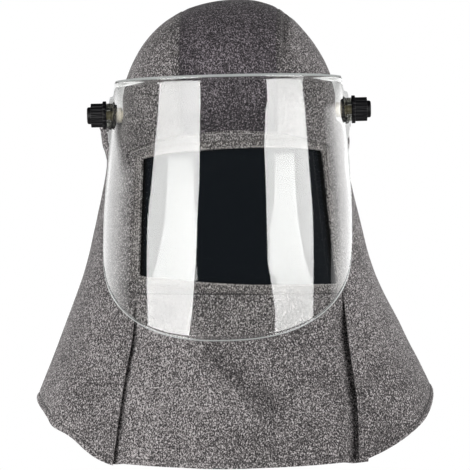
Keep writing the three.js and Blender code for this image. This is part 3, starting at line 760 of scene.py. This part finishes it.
# Front panel: face cloth and bib in one, with the window cut through it
frontPanel = {"columns": 100, "rows": 130, "ease": 0.75, "flat": (0.215, 0.295), "area": 0.041,
              # painted light at the bib's left and painted shade at its right
              "leftLight": 0.018, "rightShade": -0.026, "shadeHalf": 100}
window = {"topLeft": (-76, -140), "topRight": (80.5, -136),
          "bottomLeft": (-82, -244.2), "bottomRight": (91, -255.8), "bowTop": 5, "bowBottom": 3.4,
          "halfWidth": 82, "halfHeight": 55, "cornerRadius": 2.2, "edgeSteps": 60, "cornerSteps": 6,
          "cutDepth": 200}


def frontPoint(s, t):
    leftZ = mix(flaps[leftSide]["bib"], foreheadArch["corner"], t)
    rightZ = mix(flaps[rightSide]["bib"], foreheadArch["corner"], t)
    ends = []
    for tuck, z in zip(tucks, (leftZ, rightZ)):
        loose = smooth(hoodForm["slitUnderTop"] - z, 0, hoodForm["slitFade"])
        ends.append(frontSeam(tuck["side"], z) + tuck["side"] * tuck["under"] * loose)
    hemBow = hem["middle"] - (flaps[leftSide]["bib"] + flaps[rightSide]["bib"]) / 2
    bow = mix(hemBow, archDrop, t) * (1 - (2 * s - 1) ** 2)
    return facePoint(mix(ends[0], ends[1], s), mix(leftZ, rightZ, s) + bow)


def frontRelief(p, gap):
    loose = smooth(hoodForm["slitTop"] - p.z, 0, hoodForm["slitFade"])
    off = faceRelief(p) + foldRelief(p) + looseness(p) + seamPull(p, gap[headEdge])
    off += foldedEdge(p, gap[footEdge])
    return off + (1 - loose) * seamPull(p, min(gap[startEdge], gap[endEdge]))


def frontShading(p):
    # painted shade in the fold; painted light at the left of the bib and painted shade at its right
    across = smooth(p.x, -frontPanel["shadeHalf"], frontPanel["shadeHalf"])
    paintedShading = mix(frontPanel["leftLight"], frontPanel["rightShade"], across)
    paintedShading *= smooth(-p.z, -hoodForm["slitTop"], -bibFold["fromZ"])
    return paintedShading + bibFold["paintedShading"] * foldRelief(p) / -bibFold["depth"]


def windowXZ(u, v):
    across, up = (u + 1) / 2, (v + 1) / 2
    top = [mix(a, b, across) for a, b in zip(window["topLeft"], window["topRight"])]
    bottom = [mix(a, b, across) for a, b in zip(window["bottomLeft"], window["bottomRight"])]
    bow = mix(-window["bowBottom"], window["bowTop"], up) * (1 - u * u)
    return mix(bottom[0], top[0], up), mix(bottom[1], top[1], up) + bow


def windowRing(margin):
    # points round the opening, anticlockwise from the right, moved outwards by a margin
    points = []
    for corner in range(4):
        centreX = (1 if corner in (0, 3) else -1) * (window["halfWidth"] - window["cornerRadius"])
        centreZ = (1 if corner < 2 else -1) * (window["halfHeight"] - window["cornerRadius"])
        radius = window["cornerRadius"] + margin
        for k in range(window["cornerSteps"] + 1):
            angle = math.radians(90 * (corner + k / window["cornerSteps"]))
            points.append((centreX + radius * math.cos(angle), centreZ + radius * math.sin(angle)))
        start = points[-1]
        end = (-centreX, start[1]) if corner % 2 == 0 else (start[0], -centreZ)
        for k in range(1, window["edgeSteps"]):
            share = k / window["edgeSteps"]
            points.append((mix(start[0], end[0], share), mix(start[1], end[1], share)))
    return [windowXZ(x / window["halfWidth"], z / window["halfHeight"]) for x, z in points]


def faceNormal(x, z, step=0.05):
    across = facePoint(x + step, z) - facePoint(x - step, z)
    up = facePoint(x, z + step) - facePoint(x, z - step)
    return across.cross(up).normalized()


def liftedFace(x, z, lift):
    # a point above the front cloth by a lift along its normal
    point = facePoint(x, z)
    return point + faceNormal(x, z) * (faceRelief(point) + looseness(point) + lift)


def windowCutter():
    # a straight block through the opening
    ring = windowRing(0)
    deselectAll()
    bpy.ops.mesh.primitive_circle_add(vertices=len(ring), fill_type="NGON")
    cutter = bpy.context.object
    for vertex, (x, z) in zip(cutter.data.vertices, ring):
        vertex.co = Vector((x, 0, z)) * mm
    bpy.ops.object.mode_set(mode="EDIT")
    bpy.ops.mesh.select_all(action="SELECT")
    bpy.ops.mesh.extrude_region_move(TRANSFORM_OT_translate={"value": (0, -window["cutDepth"] * mm, 0)})
    faceOutwards()
    return cutter


frontCloth = layGrid("front_cloth", frontPanel, frontPoint)
gaps = raiseCloth(frontCloth, frontPanel, frontRelief)
hemLine = rowAlong(frontCloth, frontPanel, gaps, footEdge, sewing["hemWidth"])
sewRow("bib_hem_stitches", hemLine, "front_panel", greyThread)
browLine = rowAlong(frontCloth, frontPanel, gaps, headEdge, sewing["browRow"])
sewRow("brow_stitches", browLine, "front_panel", paleThread)
paintShading(frontCloth, frontShading)
thicken(frontCloth, hoodForm["cloth"], rounding=0)
combine(frontCloth, "DIFFERENCE", windowCutter())
dress(frontCloth, clothKnit, "hood", "cloth", "front_panel")
seamLine = []
for x in range(bibSeam["fromX"], bibSeam["toX"] + 1):
    z = bibSeam["z"] + bibSeam["tilt"] * x
    seamLine.append((liftedFace(x, z, bibSeam["lift"]), faceNormal(x, z)))
# drawn dark and thick: the stitches also stand for painted shade along the bib's seam
sewRow("bib_seam_stitches", seamLine, "front_panel", darkThreadSeamShade, bibSeam["thread"], bibSeam["stitch"])
print("front panel sewn and its window cut")

# Window band: doubled cloth, sewn down along both edges
band = {"width": 6.4, "overhang": 1, "thickness": 1.6, "edgeShare": 0.25, "square": 6, "gap": 0.8,
        "under": 0.5, "steps": 18, "groove": 0.5, "grooveWidth": 0.6, "rows": (0.0, 5.0),
        "shadeAngle": 50, "flat": (0.0125, 0.565)}


def bandProfile():
    # across the band: margin from the opening and height over the cloth, over the top and back underneath
    profile = []
    span = band["width"] + band["overhang"]
    for k in range(band["steps"] + 1):
        share = k / band["steps"]
        margin = -band["overhang"] + span * share
        arch = (1 - (2 * share - 1) ** band["square"]) ** 0.5
        groove = sum(band["groove"] * hump(margin, at, band["grooveWidth"]) for at in band["rows"])
        profile.append((margin, band["gap"] + band["thickness"] * mix(band["edgeShare"], 1, arch) - groove))
    for k in range(band["steps"], -1, -2):
        profile.append((-band["overhang"] + span * k / band["steps"], band["gap"] - band["under"]))
    return profile


profile = bandProfile()
rings = [windowRing(margin) for margin, _ in profile]
around, count = len(rings[0]), len(profile)
bandPoints, bandFaces = [], []
for k in range(around):
    for ring, (_, lift) in zip(rings, profile):
        bandPoints.append(liftedFace(*ring[k], lift) * mm)
    here, after = k * count, (k + 1) % around * count
    for i in range(count):
        j = (i + 1) % count
        bandFaces.append((here + i, here + j, after + j, after + i))
windowBand = meshPiece("window_band", bandPoints, bandFaces)
shadeSmooth(windowBand, band["shadeAngle"])
dress(windowBand, bandKnit, "hood", "band", "window_frame")
for word, margin, thread in zip(("inner", "outer"), band["rows"], (paleThread, greyThread)):
    lift = band["gap"] + band["thickness"] - band["groove"]
    line = [(liftedFace(x, z, lift), faceNormal(x, z)) for x, z in windowRing(margin)]
    sewRow("window_stitches_" + word, line, "window_frame", thread)
print("window band sewn on")

# Window pane: one dark polished sheet behind the opening
pane = {"columns": 60, "rows": 40, "ease": 0, "margin": 4, "thickness": 1.6, "rounding": 0.3, "gap": 1.6}


def panePoint(s, t):
    reachU = 1 + pane["margin"] / window["halfWidth"]
    reachV = 1 + pane["margin"] / window["halfHeight"]
    x, z = windowXZ(mix(-reachU, reachU, s), mix(-reachV, reachV, t))
    return facePoint(x, z)


windowPane = layGrid("window_pane_sheet", pane, panePoint)
behind = -hoodForm["cloth"] - pane["gap"]
raiseCloth(windowPane, pane, lambda p, gap: faceRelief(p) + behind)
thicken(windowPane, pane["thickness"], pane["rounding"])
dress(windowPane, paneSheet, "hood", "pane", "window_pane")
print("window pane set")

# Visor: a clear formed sheet with a lug at each side
pivot = {"y": 0, "z": -99}
visor = {"thickness": 2, "top": -70.5, "bottom": -301, "front": -146, "square": 2.3, "lean": -7,
         "footHalf": 110.5, "footSide": -221, "footSquare": 2.4, "frontSteps": 90, "rows": 56, "ease": 0.9,
         "lipWidth": 4.0, "lipHeight": 0.9, "footLipWidth": 2.6, "footLipHeight": 0.7,
         "lipFadeFore": 4, "lipFadeAft": 6, "frosted": 2.2, "footFrosted": 1.2,
         "rounding": 0.5, "roundAngle": 55, "shadeAngle": 40}
visorWidths = table(
    "z half",
    (-70, 103), (-99, 105.2), (-135, 108.5), (-180, 112), (-220, 113), (-301, 113),
)
lug = {"radius": 16, "below": 26, "foreY": -26, "rearEdgeY": -37, "edgeRun": 6, "topCornerRun": 9,
       "roundFrom": 6, "roundSteps": 12, "step": 1.0, "frontY": -43}
boss = {"from": 104.2, "to": 109.9, "radius": 10.5, "bore": 4.5, "boreFrom": 80, "boreTo": 118}


def visorShare(y):
    depth = -visor["front"]
    edge = -lug["rearEdgeY"]

    def share(d):
        return (1 - (d / depth) ** visor["square"]) ** (1 / visor["square"])

    if -y >= edge:
        return share(min(-y, depth))
    flare = (edge / depth) ** (visor["square"] - 1) * share(edge) ** (1 - visor["square"]) / depth
    return share(edge) + flare * (edge + y)


def visorTop(y):
    lugTop = pivot["z"] + math.sqrt(lug["radius"] ** 2 - max(y, 0) ** 2)
    corner = smooth(y, lug["rearEdgeY"] - lug["topCornerRun"], lug["rearEdgeY"] + lug["topCornerRun"])
    return mix(visor["top"], lugTop, corner)


def visorFoot(y):
    share = min(visorWidths[-1]["half"] * visorShare(min(y, lug["rearEdgeY"])) / visor["footHalf"], 1)
    fall = (1 - share ** visor["footSquare"]) ** (1 / visor["footSquare"])
    sheetFoot = mix(visor["footSide"], visor["bottom"], fall)
    roundEnd = math.sqrt(lug["radius"] ** 2 - max(y, 0) ** 2)
    slant = smooth(-y, 0, -lug["foreY"]) * (lug["below"] - lug["radius"])
    rear = smooth(y, lug["rearEdgeY"], lug["rearEdgeY"] + lug["edgeRun"])
    return mix(sheetFoot, pivot["z"] - roundEnd - slant, rear)


def visorStations():
    # depths along the sheet, from the left lug's round end, round the front, to the right lug's
    lugYs = []
    for k in range(lug["roundSteps"]):
        angle = math.radians(mix(lug["roundFrom"], 90, k / lug["roundSteps"]))
        lugYs.append(lug["radius"] * math.cos(angle))
    y = 0.0
    while y > lug["frontY"]:
        lugYs.append(y)
        y -= lug["step"]
    lugYs.append(lug["frontY"])
    start = math.acos((lug["frontY"] / visor["front"]) ** (visor["square"] / 2))
    stations = [(leftSide, y) for y in lugYs]
    for k in range(1, visor["frontSteps"]):
        angle = mix(-start, start, k / visor["frontSteps"])
        y = visor["front"] * math.cos(angle) ** (2 / visor["square"])
        stations.append((leftSide if angle < 0 else rightSide, y))
    return stations + [(rightSide, y) for y in reversed(lugYs)]


stations = visorStations()


def visorPoint(s, t):
    side, y = stations[round(s * (len(stations) - 1))]
    z = mix(visorFoot(y), visorTop(y), easeEnds(t, visor["ease"]))
    lean = visor["lean"] * min(z - pivot["z"], 0) / (visor["bottom"] - pivot["z"])
    return Vector((side * columnAt(visorWidths, "half", z) * visorShare(y) + lean, y, z))


def turned(name, side, profile, sides=64, closed=False):
    # a profile of distance from the middle and radius, spun round the pivot line
    deselectAll()
    bpy.ops.mesh.primitive_circle_add(vertices=len(profile), fill_type="NOTHING")
    piece = bpy.context.object
    piece.name = piece.data.name = name
    for vertex, (along, radius) in zip(piece.data.vertices, profile):
        vertex.co = Vector((side * along, pivot["y"], pivot["z"] + radius)) * mm
    bpy.ops.object.mode_set(mode="EDIT")
    if not closed:
        bpy.ops.mesh.select_all(action="DESELECT")
        bpy.ops.object.mode_set(mode="OBJECT")
        ends = {0, len(profile) - 1}
        for edge in piece.data.edges:
            edge.select = set(edge.vertices) == ends
        bpy.ops.object.mode_set(mode="EDIT")
        bpy.ops.mesh.delete(type="EDGE_FACE")
    bpy.ops.mesh.select_all(action="SELECT")
    centre = (0, pivot["y"] * mm, pivot["z"] * mm)
    bpy.ops.mesh.spin(steps=sides, angle=2 * math.pi, center=centre, axis=(1, 0, 0))
    bpy.ops.mesh.select_all(action="SELECT")
    bpy.ops.mesh.remove_doubles(threshold=1e-6)
    faceOutwards()
    return piece


def turnedRod(name, side, start, end, radius):
    return turned(name, side, [(start, 0), (start, radius), (end, radius), (end, 0)])


def finishTurned(piece, rounding, angle=35):
    roundEdges(piece, rounding, angle)
    shadeSmooth(piece, angle)


def visorLip(piece, gaps):
    # the edges are thicker: a rounded lip along the top and a lower one along the foot
    fadeFrom, fadeTo = lug["frontY"] - visor["lipFadeFore"], lug["frontY"] + visor["lipFadeAft"]
    lips = ((headEdge, visor["lipWidth"], visor["lipHeight"]),
            (footEdge, visor["footLipWidth"], visor["footLipHeight"]))
    for vertex, gap in zip(piece.data.vertices, gaps):
        onSheet = 1 - smooth(vertex.co.y / mm, fadeFrom, fadeTo)
        lift = 0.0
        for edge, width, height in lips:
            share = 2 * gap[edge] / width - 1
            if abs(share) < 1:
                lift += height * math.sqrt(1 - share * share)
        vertex.co += vertex.normal * lift * onSheet * mm


visorGrid = {"columns": len(stations) - 1, "rows": visor["rows"], "ease": 0}
visorPiece = layGrid("visor_sheet", visorGrid, visorPoint)
visorGaps = edgeGaps(visorPiece, visorGrid)
visorPiece.data.materials.append(visorSheet)
visorPiece.data.materials.append(visorEdge)
for face in visorPiece.data.polygons:
    toHead, toFoot = (max(visorGaps[i][edge] for i in face.vertices) for edge in (headEdge, footEdge))
    face.material_index = int(toHead < visor["frosted"] or toFoot < visor["footFrosted"])
applyModifier(visorPiece, "SOLIDIFY", thickness=visor["thickness"] * mm, offset=-1, material_offset_rim=1)
visorLip(visorPiece, visorGaps)
roundEdges(visorPiece, visor["rounding"], visor["roundAngle"])
for side in (leftSide, rightSide):
    combine(visorPiece, "UNION", turnedRod("boss", side, boss["from"], boss["to"], boss["radius"]))
    drill = turnedRod("drill", side, boss["boreFrom"], boss["boreTo"], boss["bore"])
    combine(visorPiece, "DIFFERENCE", drill)
shadeSmooth(visorPiece, visor["shadeAngle"])
dress(visorPiece, visorSheet, "visor", "visor", "visor")
# a clear sheet lets the studio's light through to the cloth
visorPiece.visible_shadow = False
visorPiece.visible_diffuse = False
print("visor formed")

# Side fittings on the pivot line: post, washer and knob
post = {"profile": [(91, 0), (91, 11), (92.8, 11), (92.8, 4), (97.6, 4), (97.6, 6.8), (102.6, 6.8),
                    (102.6, 4), (119.4, 4), (119.4, 0)], "studFrom": 102.7, "rounding": 0.4}
washer = {"profile": [(102.8, 4.6), (102.8, 11.5), (103.9, 11.5), (103.9, 4.6)], "rounding": 0.25}
knob = {"profile": [(119.8, 0), (119.8, 4.4), (110.3, 4.4), (110.3, 12.6), (113.5, 12.6), (113.5, 10.8),
                    (124.2, 10.8), (124.2, 7.7), (126.6, 7.6), (127.5, 6.9), (127.8, 5.4), (127.4, 4.8),
                    (127.4, 0)], "rounding": 0.45, "sides": 128,
        "flutes": 16, "fluteDepth": 1.2, "flutedFrom": 113.0, "flutedTo": 125.0, "flutedOutside": 10,
        "fluteStart": 0.2, "fluteFull": 0.9}


def cutFlutes(piece):
    # hollows round the grip, each from the start of its turn to its full depth
    for vertex in piece.data.vertices:
        along = abs(vertex.co.x) / mm
        y, z = vertex.co.y / mm - pivot["y"], vertex.co.z / mm - pivot["z"]
        radius = math.hypot(y, z)
        if knob["flutedFrom"] < along < knob["flutedTo"] and radius > knob["flutedOutside"]:
            turn = math.cos(knob["flutes"] * math.atan2(z, y))
            scale = 1 - knob["fluteDepth"] / radius * smooth(turn, knob["fluteStart"], knob["fluteFull"])
            vertex.co.y = (pivot["y"] + y * scale) * mm
            vertex.co.z = (pivot["z"] + z * scale) * mm


for side, word in bothSides:
    piece = turned(word + "_bush", side, post["profile"])
    finishTurned(piece, post["rounding"])
    piece.data.materials.append(bushPlastic)
    # the stud inside the boss takes the olive copy: painted shade
    piece.data.materials.append(shadedStudPlastic)
    for face in piece.data.polygons:
        face.material_index = int(abs(face.center.x) > post["studFrom"] * mm)
    dress(piece, bushPlastic, "hood", "bush", word + "_post")
    piece = turned(word + "_washer_ring", side, washer["profile"], closed=True)
    finishTurned(piece, washer["rounding"])
    dress(piece, knobPlastic, "hood", "knob", word + "_washer")
    piece = turned(word + "_grip", side, knob["profile"], sides=knob["sides"])
    cutFlutes(piece)
    finishTurned(piece, knob["rounding"])
    dress(piece, knobPlastic, word + "_knob", "knob", word + "_knob")
print("posts, washers and knobs turned")

# Studio: white backdrop, dark in front, one tall softbox at each side and a pale flat behind each
studio = {"distance": 1.9, "floorZ": -0.45, "floorRadius": 0.46, "floorSolid": 0.5, "floorSides": 96,
          "dark": 0.03, "around": ((-0.1, 0.05), (0.3, 0.25), (0.6, 1.1)),
          "through": ((0.4, 0.45), (0.85, 1.0))}
# Panels by height in metres: degrees from the camera's side of the hood at their edges, and their glow
softboxes = {
    leftSide: table("z edges glow", (0.45, (25, 77), 3.0), (0.15, (24.5, 77.5), 5.5), (0.0, (24, 78), 6.9),
                    (-0.1, (21.5, 80.5), 6.9), (-0.21, (23, 80), 6.8), (-0.28, (26, 77.5), 6.6),
                    (-0.35, (34, 74), 5.6), (-0.75, (35, 73), 5.2)),
    rightSide: table("z edges glow", (0.45, (38, 85), 3.0), (0.15, (37, 85.5), 5.5), (0.0, (36, 85.5), 6.9),
                     (-0.1, (30, 85.5), 6.9), (-0.21, (30.5, 87), 6.8), (-0.28, (32, 88), 6.6),
                     (-0.35, (40.5, 88.5), 5.2), (-0.75, (41, 88.5), 4.0)),
}
softboxShares = {leftSide: (1.15, 0.95), rightSide: (1.08, 1.0)}
flatEdges = {leftSide: (105, 128, 157, 167), rightSide: (115, 135, 157, 167)}
flatGlows = table("z glow", (0.09, 0.1), (0.05, 0.15), (0.015, 1.7), (-0.75, 1.7))
flatShares = {leftSide: (0.25, 1.15, 1.1, 0.15), rightSide: (0.35, 1.35, 1.35, 0.25)}


def panel(name, side, rows, shares):
    # a lit panel on an arc round the hood, its glow set by row and by place across it
    points, faces, glows = [], [], []
    across = len(shares)
    for row in rows:
        for azimuth, share in zip(row["edges"], shares):
            angle = math.radians(azimuth)
            x, y = side * studio["distance"] * math.sin(angle), -studio["distance"] * math.cos(angle)
            points.append((x, y, row["z"]))
            glows.append(row["glow"] * share)
    for k in range(len(rows) - 1):
        for i in range(across - 1):
            low = k * across + i
            faces.append((low, low + 1, low + across + 1, low + across))
    piece = meshPiece(name, points, faces)
    piece.data.attributes.new("glow", "FLOAT", "POINT").data.foreach_set("value", glows)
    material, tree = newMaterial(name + "_cloth")
    level = addNode(tree, "ShaderNodeAttribute", {"attribute_name": "glow"})
    glow = addNode(tree, "ShaderNodeEmission", {"Color": linear("#ffffff")},
                   {"Strength": level.outputs["Fac"]})
    addNode(tree, "ShaderNodeOutputMaterial", None, {"Surface": glow.outputs["Emission"]})
    piece.data.materials.append(material)
    piece.visible_camera = False
    return piece


for side, word in bothSides:
    panel(word + "_softbox", side, softboxes[side], softboxShares[side])
    flats = [dict(row, edges=flatEdges[side]) for row in flatGlows]
    flat = panel(word + "_flat", side, flats, flatShares[side])
    # the flats show in the visor's gloss only
    flat.visible_diffuse = False
    flat.visible_transmission = False

# A snoot lights each bush, which sits in the shade of its knob
snoot = {"x": 0.0975, "y": -1.5, "power": 80, "cone": 0.5, "blend": 0.6, "size": 0.01}
for side, word in bothSides:
    lamp = bpy.data.lights.new(word + "_snoot", "SPOT")
    lamp.energy = snoot["power"]
    lamp.spot_size = math.radians(snoot["cone"])
    lamp.spot_blend = snoot["blend"]
    lamp.shadow_soft_size = snoot["size"]
    lampPiece = addPiece(word + "_snoot", lamp)
    lampPiece.location = (side * snoot["x"], snoot["y"], pivot["z"] * mm)
    lampPiece.rotation_euler = (math.radians(90), 0, 0)
    lampPiece.visible_glossy = False

# What a ray meets past the panels depends on whether it was reflected, scattered or let through
world = bpy.data.worlds.new("studio")
bpy.context.scene.world = world
world.use_nodes = True
tree = world.node_tree
tree.nodes.clear()
ray = addNode(tree, "ShaderNodeLightPath")
direction = addNode(tree, "ShaderNodeTexCoord").outputs["Generated"]
split = addNode(tree, "ShaderNodeSeparateXYZ", None, {"Vector": direction})


def roomSide(*stops):
    # brightness by how far behind the hood a ray points, from -1 in front to 1 behind
    share = addNode(tree, "ShaderNodeMath", {"operation": "MULTIPLY_ADD", 1: 0.5, 2: 0.5},
                    {0: split.outputs["Y"]})
    ramp = addNode(tree, "ShaderNodeValToRGB", None, {"Fac": share.outputs[0]})
    while len(ramp.color_ramp.elements) < len(stops):
        ramp.color_ramp.elements.new(0.5)
    for stop, (behind, level) in zip(ramp.color_ramp.elements, stops):
        stop.position = 0.5 + 0.5 * behind
        stop.color = (level, level, level, 1)
    return ramp.outputs["Color"]


atLeastOnce = {"operation": "GREATER_THAN", 1: 0.5}
reflected = addNode(tree, "ShaderNodeMath", {"operation": "ADD"},
                    {0: ray.outputs["Glossy Depth"], 1: ray.outputs["Diffuse Depth"]})
isReflected = addNode(tree, "ShaderNodeMath", atLeastOnce, {0: reflected.outputs[0]})
isThrough = addNode(tree, "ShaderNodeMath", atLeastOnce, {0: ray.outputs["Transmission Depth"]})
through = addNode(tree, "ShaderNodeMix", {2: 1.0},
                  {0: isThrough.outputs[0], 3: roomSide(*studio["through"])})
isDiffuse = addNode(tree, "ShaderNodeMath", atLeastOnce, {0: ray.outputs["Diffuse Depth"]})
lit = addNode(tree, "ShaderNodeMix", {2: studio["dark"]},
              {0: isDiffuse.outputs[0], 3: roomSide(*studio["around"])})
level = addNode(tree, "ShaderNodeMix", None,
                {0: isReflected.outputs[0], 2: through.outputs[0], 3: lit.outputs[0]})
both = addNode(tree, "ShaderNodeBackground", {"Color": linear("#ffffff")}, {"Strength": level.outputs[0]})
addNode(tree, "ShaderNodeOutputWorld", None, {"Surface": both.outputs[0]})
world.cycles.sampling_method = "NONE"

# The floor is white paper that fades out towards its rim
deselectAll()
bpy.ops.mesh.primitive_circle_add(vertices=studio["floorSides"], radius=studio["floorRadius"],
                                  fill_type="TRIFAN", location=(0, 0, studio["floorZ"]))
floor = bpy.context.object
floor.name = "floor"
material, tree = newMaterial("floor_paper_white")
place = addNode(tree, "ShaderNodeTexCoord").outputs["Object"]
far = addNode(tree, "ShaderNodeVectorMath", {"operation": "LENGTH"}, {0: place})
fade = addNode(tree, "ShaderNodeMapRange",
               {"interpolation_type": "SMOOTHSTEP", "From Min": studio["floorRadius"],
                "From Max": studio["floorSolid"] * studio["floorRadius"]}, {"Value": far.outputs["Value"]})
shader = addNode(tree, "ShaderNodeBsdfPrincipled", {"Base Color": linear("#f2f1ef"), "Roughness": 0.9},
                 {"Alpha": fade.outputs["Result"]})
addNode(tree, "ShaderNodeOutputMaterial", None, {"Surface": shader.outputs["BSDF"]})
floor.data.materials.append(material)

# Camera: straight on at the middle of the face, a little turned about its own axis
camera = {"distance": 3.6, "lens": 306.4, "sensor": 36, "clipEnd": 50,
          "x": 0.0027, "z": -0.2095, "roll": 1.4}
cameraData = bpy.data.cameras.new("camera")
cameraData.lens = camera["lens"]
cameraData.sensor_width = camera["sensor"]
cameraData.clip_end = camera["clipEnd"]
cameraPiece = addPiece("camera", cameraData)
cameraPiece.location = (camera["x"], -camera["distance"], camera["z"])
cameraPiece.rotation_euler = (math.radians(90), math.radians(camera["roll"]), 0)
bpy.context.scene.camera = cameraPiece
bpy.context.scene.view_settings.view_transform = "Standard"
print("studio and camera set")
